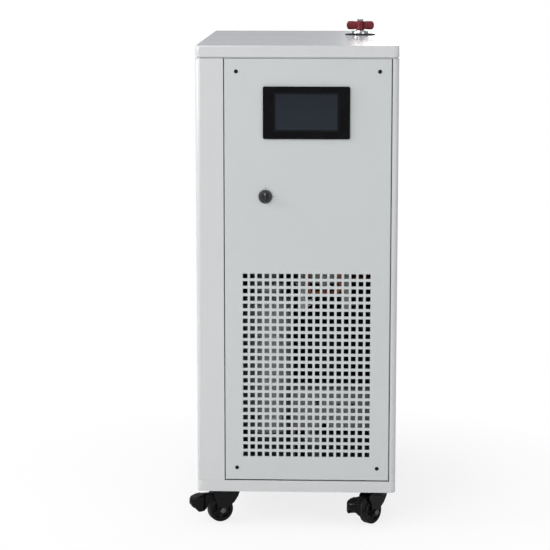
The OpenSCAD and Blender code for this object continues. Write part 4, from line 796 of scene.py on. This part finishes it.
# rolled ribs round the collar's rim
shells = []
for k in range(knob["ribs"]):
    a = 2 * math.pi * k / knob["ribs"]
    rib = slabShell(boxOutline(0.0009, 0.0032, 0.0003, 2), 0.0003, 0.00012, 1)
    out = Vector((math.cos(a), 0, math.sin(a)))
    ribAt = knobAt + out * knob["ribAt"] + Vector((0, -0.0021, 0))
    shells.append(moved(rib, place(ribAt, out, out.cross(Vector((0, 1, 0))))))
makePiece("collar_ribs", shells, darkPlastic)
print("switch made")

# pieces behind the grille

vessel = {"x": -0.076, "y": 0.140, "radius": 0.062, "low": 0.155, "high": 0.585, "weldIn": 0.0252,
          "clamps": (0.262, 0.470), "clampTurn": -62}
vesselAt = spot(vessel["x"], vessel["y"], 0)


def beadRing(radius, height, size, wobble, steps=220, seed=0):
    # a weld bead: a small round section carried round, its scales a saw wave along the way
    t = np.linspace(0, 2 * math.pi, steps, endpoint=False)
    v = np.linspace(0, 2 * math.pi, 8, endpoint=False)
    scale = 1 + wobble * ((t * radius / 0.0022) % 1) + 0.12 * np.sin(t * 7 + seed)
    r = radius + size * scale[:, None] * np.cos(v)[None, :] * 0.6
    z = height + size * scale[:, None] * np.sin(v)[None, :] + 0.0003 * np.sin(t * 3 + seed)[:, None]
    rings = np.stack([r * np.cos(t)[:, None], r * np.sin(t)[:, None], z], -1)
    return sheetShell(rings, closeU=True, closeV=True)


shells = [beadRing(vessel["radius"], vessel["low"] + vessel["weldIn"], 0.0018, 0.35, seed=1),
          beadRing(vessel["radius"], vessel["high"] - vessel["weldIn"], 0.0018, 0.35, seed=2),
          beadRing(0.0562, vessel["low"] + 0.0004, 0.0016, 0.3, seed=3)]
shells = [shifted(s, vesselAt) for s in shells]
makePiece("vessel_welds", shells, stainless, sharp=60)

# clamp bands with their screw blocks
shells = []
for z in vessel["clamps"]:
    band = [(0.0621, -0.007), (0.0633, -0.007), (0.0635, -0.0062), (0.0630, -0.0045), (0.0630, 0.0045),
            (0.0635, 0.0062), (0.0633, 0.007), (0.0621, 0.007), (0.0621, -0.007)]
    shells.append(shifted(turned(band, 96), vesselAt + Vector((0, 0, z))))
    turn = math.radians(vessel["clampTurn"])
    out = Vector((math.cos(turn), math.sin(turn), 0))
    block = slabShell(boxOutline(0.016, 0.012, 0.002, 4), 0.008, 0.001)
    shells.append(moved(block, place(vesselAt + out * 0.0625 + Vector((0, 0, z)), out, (0, 0, 1))))
    bolt = slabShell(hexOutline(0.007, 0.0004), 0.0035, 0.0004)
    shells.append(moved(bolt, place(vesselAt + out * 0.0665 + Vector((0, 0, z + 0.0078)), (0, 0, 1), out)))
makePiece("vessel_clamps", shells, zinc)

# dark grey band round the vessel's foot, made as foam: painted shade at the foot of the vessel
shadeBand = [(0.0622, 0.166), (0.0645, 0.166), (0.0655, 0.1672), (0.0657, 0.195), (0.0655, 0.2238),
        (0.0645, 0.225), (0.0622, 0.225), (0.0622, 0.166)]
makePiece("vessel_shade_band", [shifted(turned(shadeBand, 96), vesselAt)], shadeBandFoam, sharp=40)

# compressor: the weld round its shell
comp = {"x": 0.087, "y": 0.205, "z": 0.355, "radius": 0.098, "high": 0.190}
compAt = spot(comp["x"], comp["y"], comp["z"])
seam = beadRing(comp["radius"] + 0.0035, comp["high"] * 0.52 + 0.0040, 0.0016, 0.5, 320, 5)
makePiece("compressor_seam", [shifted(seam, compAt)], blackEnamel, sharp=60)

# terminal cover: a moulded lid held by a wire clip
lidAt = compAt + Vector((0, -comp["radius"] - 0.0139, comp["high"] * 0.35))
lid = slabShell(boxOutline(0.054, 0.046, 0.006, 6), 0.0024, 0.0016, 4)
makePiece("terminal_lid", [moved(lid, place(lidAt, (0, -1, 0), (1, 0, 0)))], blackPlastic)
clip = [(-0.0285, 0.012, 0.006), (-0.0285, -0.0038, 0.006), (0.0285, -0.0038, 0.006), (0.0285, 0.012, 0.006)]
clip = tubeShell(filletPath(clip, 0.004), 0.0011, 10)
makePiece("lid_clip", [shifted(clip, lidAt)], zinc)

# foam sleeve on the cold pipe, over its upright leg above the compressor
pipeX = comp["x"] - 0.045
sleeve = filletPath([(pipeX, 0.245, 0.560), (pipeX, 0.245, 0.635), (pipeX, 0.405, 0.635)], 0.012, 10)
swell = 0.0125 + 0.0006 * np.sin(np.arange(len(sleeve)) * 1.7)
sleeve = shifted(tubeShell(sleeve, 0.0125, 24, swell), spot(0, 0, 0))
makePiece("pipe_sleeve", [sleeve], foam)

# brazed collars where the copper enters the drier and the compressor
shells = []
for x, z in ((0.070 - 0.0245, 0.597), (0.070 + 0.0245, 0.597)):
    ring = [(0.0049, -0.003), (0.0061, -0.0026), (0.0067, 0.0), (0.0061, 0.0026), (0.0049, 0.003),
            (0.0049, -0.003)]
    shells.append(moved(turned(ring, 32), place(spot(x, 0.0547, z), (1, 0, 0))))
for x in (-0.045, 0.045):
    ring = [(0.0049, 0.0), (0.0082, 0.0), (0.0078, 0.0022), (0.0058, 0.0040), (0.0049, 0.0044), (0.0049, 0.0)]
    shells.append(shifted(turned(ring, 32), spot(comp["x"] + x, comp["y"] + 0.040, 0.545)))
makePiece("braze_collars", shells, copper)

# thin corrugated fins between the condenser's coarse ones
coil = {"x": 0.200, "y": 0.564, "z": 0.151, "wide": 0.398, "deep": 0.052, "high": 0.408, "coarse": 26,
        "between": 5}
coilPitch = coil["wide"] / coil["coarse"]


def finShell(x, seed):
    # a sheet at x, which waves along its depth and a little from row to row, pinched shut at both ends
    v = np.linspace(0, 1, 15)[None, :]
    k = np.arange(11)[:, None]
    thick = np.where((k > 0) & (k < 10), 0.00012, 0)
    wave = 0.0007 * np.sin(v * 8 * math.pi) + 0.0003 * np.sin(k * 1.9 + seed)
    y = coil["y"] + coil["deep"] * v + 0 * k
    z = coil["z"] + coil["high"] * k / 10 + 0 * v
    there = np.stack([x + wave + thick, y, z], -1)
    back = np.stack([x + wave - thick, y, z], -1)[:, ::-1]
    return sheetShell(np.concatenate([there, back], 1), closeV=True)


shells = []
for k in range(coil["coarse"]):
    for j in range(coil["between"]):
        x = -coil["x"] + coilPitch * (k + (j + 1) / (coil["between"] + 1)) + 0.0005
        shells.append(shifted(finShell(x, k * 7 + j * 3), spot(0, 0, 0)))
makePiece("thin_fins", shells, fins, sharp=70)
print("inside made")

# fan

fan = {"y": 0.645, "z": 0.355, "radius": 0.168, "hub": 0.048, "length": 0.034, "blades": 7}
fanAt = spot(0, fan["y"], fan["z"])


def bladeShell(turn):
    # root to tip, the chord grows, sweeps back and flattens as it goes out, with a little camber
    k = np.linspace(0, 1, 22)[:, None]
    c = np.linspace(-0.5, 0.5, 16)[None, :]
    r = fan["hub"] - 0.002 + (fan["radius"] - fan["hub"] + 0.001) * k
    chord = (0.052 + 0.050 * np.sin(k * 1.9)) * (1 - 0.12 * k ** 6)
    pitch = np.radians(31 - 16 * k)
    arc = turn - 0.16 * k * k + c * chord * np.cos(pitch) / r
    lift = np.clip(c * chord * np.sin(pitch) + 0.0045 * (1 - 4 * c * c), -0.0205, 0.0205)
    half = 0.0011 * np.sqrt(np.maximum(1 - (2 * c) ** 4, 0)) * (1 - 0.35 * k) + 0.0002
    reach = r - 0.010 * (2 * c) ** 2 * k ** 4
    x, y = reach * np.cos(arc), reach * np.sin(arc)
    over = np.stack([x, y, lift + half], -1)
    under = np.stack([x, y, lift - half], -1)[:, ::-1]
    rings = np.concatenate([over, under], 1)
    ends = np.repeat(rings[[0, -1]].mean(1, keepdims=True), rings.shape[1], 1)
    return sheetShell(np.concatenate([ends[:1], rings, ends[1:]]), closeV=True)


half = fan["length"] / 2
hubSide = [(0.00605, -half), (0.0108, -half), (0.0118, -half + 0.001), (0.0125, -half + 0.010),
           (0.0405, -half + 0.012)]
hubSide += [(0.0440, -half + 0.001), (0.0455, -half), (0.0470, -half + 0.0005), (0.048, -half + 0.002)]
hubSide += [(0.048, half - 0.005), (0.0472, half - 0.002), (0.0450, half - 0.0004), (0.0430, half)]
hubSide += [(0.016, half), (0.0150, half - 0.0006), (0.0145, half - 0.002), (0.00605, half - 0.002),
            (0.00605, -half)]
fanPlace = place(fanAt, (0, 1, 0), (1, 0, 0))
shells = [moved(turned(hubSide, 96), fanPlace)]
for k in range(fan["blades"]):
    shells.append(moved(bladeShell(2 * math.pi * k / fan["blades"]), fanPlace))
ob = makePiece("fan_wheel", shells, blackEnamel, "fan", 50)
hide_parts("fan_rotor")
print("fan made")

# fittings at the back

backY = 0.750
ports = {"x": (-0.125, -0.015), "z": 0.853, "barbs": 4, "barbPitch": 0.0068}
shells = []
for x in ports["x"]:
    # from the inner end through the wall to the barbed mouth, then back inside the bore
    side = [(0.0, -0.015), (0.0130, -0.015), (0.0135, -0.0145), (0.0135, 0.0128)]
    for k in range(ports["barbs"]):
        z = 0.0150 + ports["barbPitch"] * k
        side += [(0.01285, z), (0.01285, z + 0.0012), (0.0135, z + 0.0058)]
    side += [(0.0131, 0.0440), (0.0122, 0.0450), (0.0100, 0.0450), (0.0095, 0.0445)]
    side += [(0.0095, -0.009), (0.0, -0.009), (0.0, -0.015)]
    at = place(spot(x, backY, ports["z"]), (0, 1, 0), (0, 0, 1))
    shells.append(moved(turned(side, 72), at))
    washer = [(0.0134, 0.0001), (0.0196, 0.0001), (0.02, 0.0005), (0.02, 0.0042), (0.0194, 0.005)]
    washer += [(0.0134, 0.005), (0.0134, 0.0001)]
    shells.append(moved(turned(washer, 72), at))
    for wide, deep, z in ((0.037, 0.008, 0.005), (0.041, 0.007, -0.0085)):
        nut = slabShell(hexOutline(wide, 0.001, 4), deep, 0.0009, hole=0.0134)
        shells.append(moved(nut, at @ Matrix.Translation((0, 0, z))))
ob = makePiece("port_tubes", shells, stainless, sharp=28)
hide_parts("circulation_ports")

# pan-head screws round the rear panel, with a dark cross laid on each head as painted shade for the cross
# recess
rearScrews = {"sides": 0.238, "heights": (0.140, 0.340, 0.560, 0.780, 1.000, 1.172), "inner": 0.08,
              "ends": (0.133, 1.1785)}
places = [(x, z) for x in (-rearScrews["sides"], rearScrews["sides"]) for z in rearScrews["heights"]]
places += [(x, z) for x in (-rearScrews["inner"], rearScrews["inner"]) for z in rearScrews["ends"]]
head = [(0, 0.0024), (0.0011, 0.00235), (0.0024, 0.0020), (0.0034, 0.0012), (0.0038, 0.0004)]
head += [(0.0038, -0.0004), (0, -0.0004)]
heads, dark = [], []
for x, z in places:
    at = place(spot(x, backY, z), (0, 1, 0), (math.cos(x * 90 + z * 40), 0, math.sin(x * 90 + z * 40)))
    heads.append(moved(turned(head, 32), at))
    # two dark bars crossed on the head: painted shade where the cross recess would be
    for q in (0, 90):
        bar = slabShell(boxOutline(0.0040, 0.0008, 0.0003, 3), 0.0003, 0.0001, 1)
        onTop = Matrix.Translation((0, 0, 0.00212)) @ Matrix.Rotation(math.radians(q), 4, 'Z')
        dark.append(moved(bar, at @ onTop))
makePiece("rear_screws", heads, zinc)
makePiece("rear_screw_recess_shade", dark, darkPlastic)

# disc and ring on the drain's cap, grip ribs on the gland's dome
drain = {"x": -0.200, "z": 0.153}
gland = {"x": 0.200, "z": 0.153, "ribs": 20, "ribAt": 0.0117, "out": 0.0135}
shells = []
drainAt = place(spot(drain["x"], backY, drain["z"]), (0, 1, 0), (0, 0, 1))
cap = [(0, 0.0279), (0.0062, 0.0279), (0.0066, 0.0283), (0.0060, 0.0286), (0, 0.0286), (0, 0.0279)]
shells.append(moved(turned(cap, 40), drainAt))
ring = [(0.0104, 0.0051), (0.0118, 0.0051), (0.0121, 0.0056), (0.0121, 0.0108), (0.0118, 0.0113)]
ring += [(0.0104, 0.0113), (0.0104, 0.0051)]
shells.append(moved(turned(ring, 56), drainAt))
makePiece("drain_ring", shells, stainless)
glandAt = place(spot(gland["x"], backY, gland["z"]), (0, 1, 0), (0, 0, 1))
shells = []
for k in range(gland["ribs"]):
    a = 2 * math.pi * k / gland["ribs"]
    ridge = slabShell(boxOutline(0.0012, 0.0120, 0.0004, 2), 0.0005, 0.0002, 1)
    local = Matrix.Translation((gland["ribAt"] * math.cos(a), gland["ribAt"] * math.sin(a), gland["out"]))
    turn = place((0, 0, 0), (math.cos(a), math.sin(a), 0.19), (-math.sin(a), math.cos(a), 0))
    shells.append(moved(moved(ridge, turn), glandAt @ local))
makePiece("gland_ribs", shells, blackPlastic)
print("back made")

# floor, lamps and camera

ground = {"half": 60, "grey": 0.86, "fadeFrom": 0.35, "fadeTo": 0.95, "white": 0.8}
half = ground["half"]
floorMesh = bpy.data.meshes.new("floor")
corners = [(-half, -half, 0), (half, -half, 0), (half, half, 0), (-half, half, 0)]
floorMesh.from_pydata(corners, [], [(0, 1, 2, 3)])
floor = bpy.data.objects.new("floor", floorMesh)
bpy.context.scene.collection.objects.link(floor)
floor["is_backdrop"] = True
floorMat = bpy.data.materials.new("studio floor")
floorMat.use_nodes = True
tree = floorMat.node_tree
tree.nodes.clear()
out = tree.nodes.new('ShaderNodeOutputMaterial')
plain = tree.nodes.new('ShaderNodeBsdfDiffuse')
plain.inputs['Color'].default_value = (ground["grey"], ground["grey"], ground["grey"], 1)
white = tree.nodes.new('ShaderNodeEmission')
white.inputs['Color'].default_value = (1, 1, 1, 1)
where = tree.nodes.new('ShaderNodeTexCoord')
far = tree.nodes.new('ShaderNodeVectorMath')
far.operation = 'LENGTH'
seen = tree.nodes.new('ShaderNodeLightPath')
mix = tree.nodes.new('ShaderNodeMixShader')
tree.links.new(where.outputs['Object'], far.inputs[0])
fade = spanNode(tree, far.outputs['Value'], ground["fadeFrom"], ground["fadeTo"], ground["white"])
tree.links.new(mathNode(tree, 'MULTIPLY', fade, seen.outputs['Is Camera Ray']), mix.inputs['Fac'])
tree.links.new(plain.outputs['BSDF'], mix.inputs[1])
tree.links.new(white.outputs['Emission'], mix.inputs[2])
tree.links.new(mix.outputs['Shader'], out.inputs['Surface'])
floorMesh.materials.append(floorMat)

world = bpy.data.worlds.new("studio")
bpy.context.scene.world = world
world.use_nodes = True
tree = world.node_tree
tree.nodes.clear()
out = tree.nodes.new('ShaderNodeOutputWorld')
soft = tree.nodes.new('ShaderNodeBackground')
soft.inputs['Color'].default_value = (0.93, 0.95, 1.0, 1)
soft.inputs['Strength'].default_value = 0.42
plain = tree.nodes.new('ShaderNodeBackground')
plain.inputs['Color'].default_value = (1, 1, 1, 1)
plain.inputs['Strength'].default_value = 1.0
seen = tree.nodes.new('ShaderNodeLightPath')
mix = tree.nodes.new('ShaderNodeMixShader')
tree.links.new(seen.outputs['Is Camera Ray'], mix.inputs['Fac'])
tree.links.new(soft.outputs['Background'], mix.inputs[1])
tree.links.new(plain.outputs['Background'], mix.inputs[2])
tree.links.new(mix.outputs['Shader'], out.inputs['Surface'])

lamps = {
    "key": {"at": (-1.6, -3.4, 2.8), "aim": (0, -0.2, 0.85), "size": 1.8, "watts": 57,
            "tint": (1.0, 0.99, 0.975)},
    "side": {"at": (-2.6, -0.9, 2.0), "aim": (-0.2, -0.2, 0.9), "size": 1.2, "watts": 44, "tint": (1, 1, 1)},
    "fill": {"at": (2.2, -2.6, 1.2), "aim": (0.1, -0.2, 0.6), "size": 1.6, "watts": 17,
             "tint": (0.96, 0.98, 1.0)},
    "back": {"at": (1.0, 3.2, 1.7), "aim": (0, 0.3, 0.7), "size": 1.8, "watts": 24, "tint": (1, 1, 1)},
    "top": {"at": (0.1, 0.2, 3.2), "aim": (0, 0, 1.2), "size": 1.8, "watts": 9, "tint": (1, 1, 1)},
}
for name, l in lamps.items():
    lamp = bpy.data.lights.new(name, 'AREA')
    lamp.size = l["size"]
    lamp.energy = l["watts"]
    lamp.color = l["tint"]
    ob = bpy.data.objects.new(name, lamp)
    ob.location = l["at"]
    ob.rotation_euler = (Vector(l["aim"]) - Vector(l["at"])).to_track_quat('-Z', 'Y').to_euler()
    bpy.context.scene.collection.objects.link(ob)

view = {"at": (0.1268, -4.774, 1.487), "lens": 127.66, "shift": -0.05, "down": 9.131, "turn": 2.165}
camData = bpy.data.cameras.new("camera")
cam = bpy.data.objects.new("camera", camData)
bpy.context.scene.collection.objects.link(cam)
camData.sensor_width = 36
camData.lens = view["lens"]
camData.shift_y = view["shift"]
camData.clip_end = 300
cam.location = spot(*view["at"])
cam.rotation_euler = (math.radians(90 - view["down"]), 0, math.radians(view["turn"]))
bpy.context.scene.camera = cam
bpy.context.scene.view_settings.view_transform = 'Standard'

low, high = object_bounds()
print("ready")
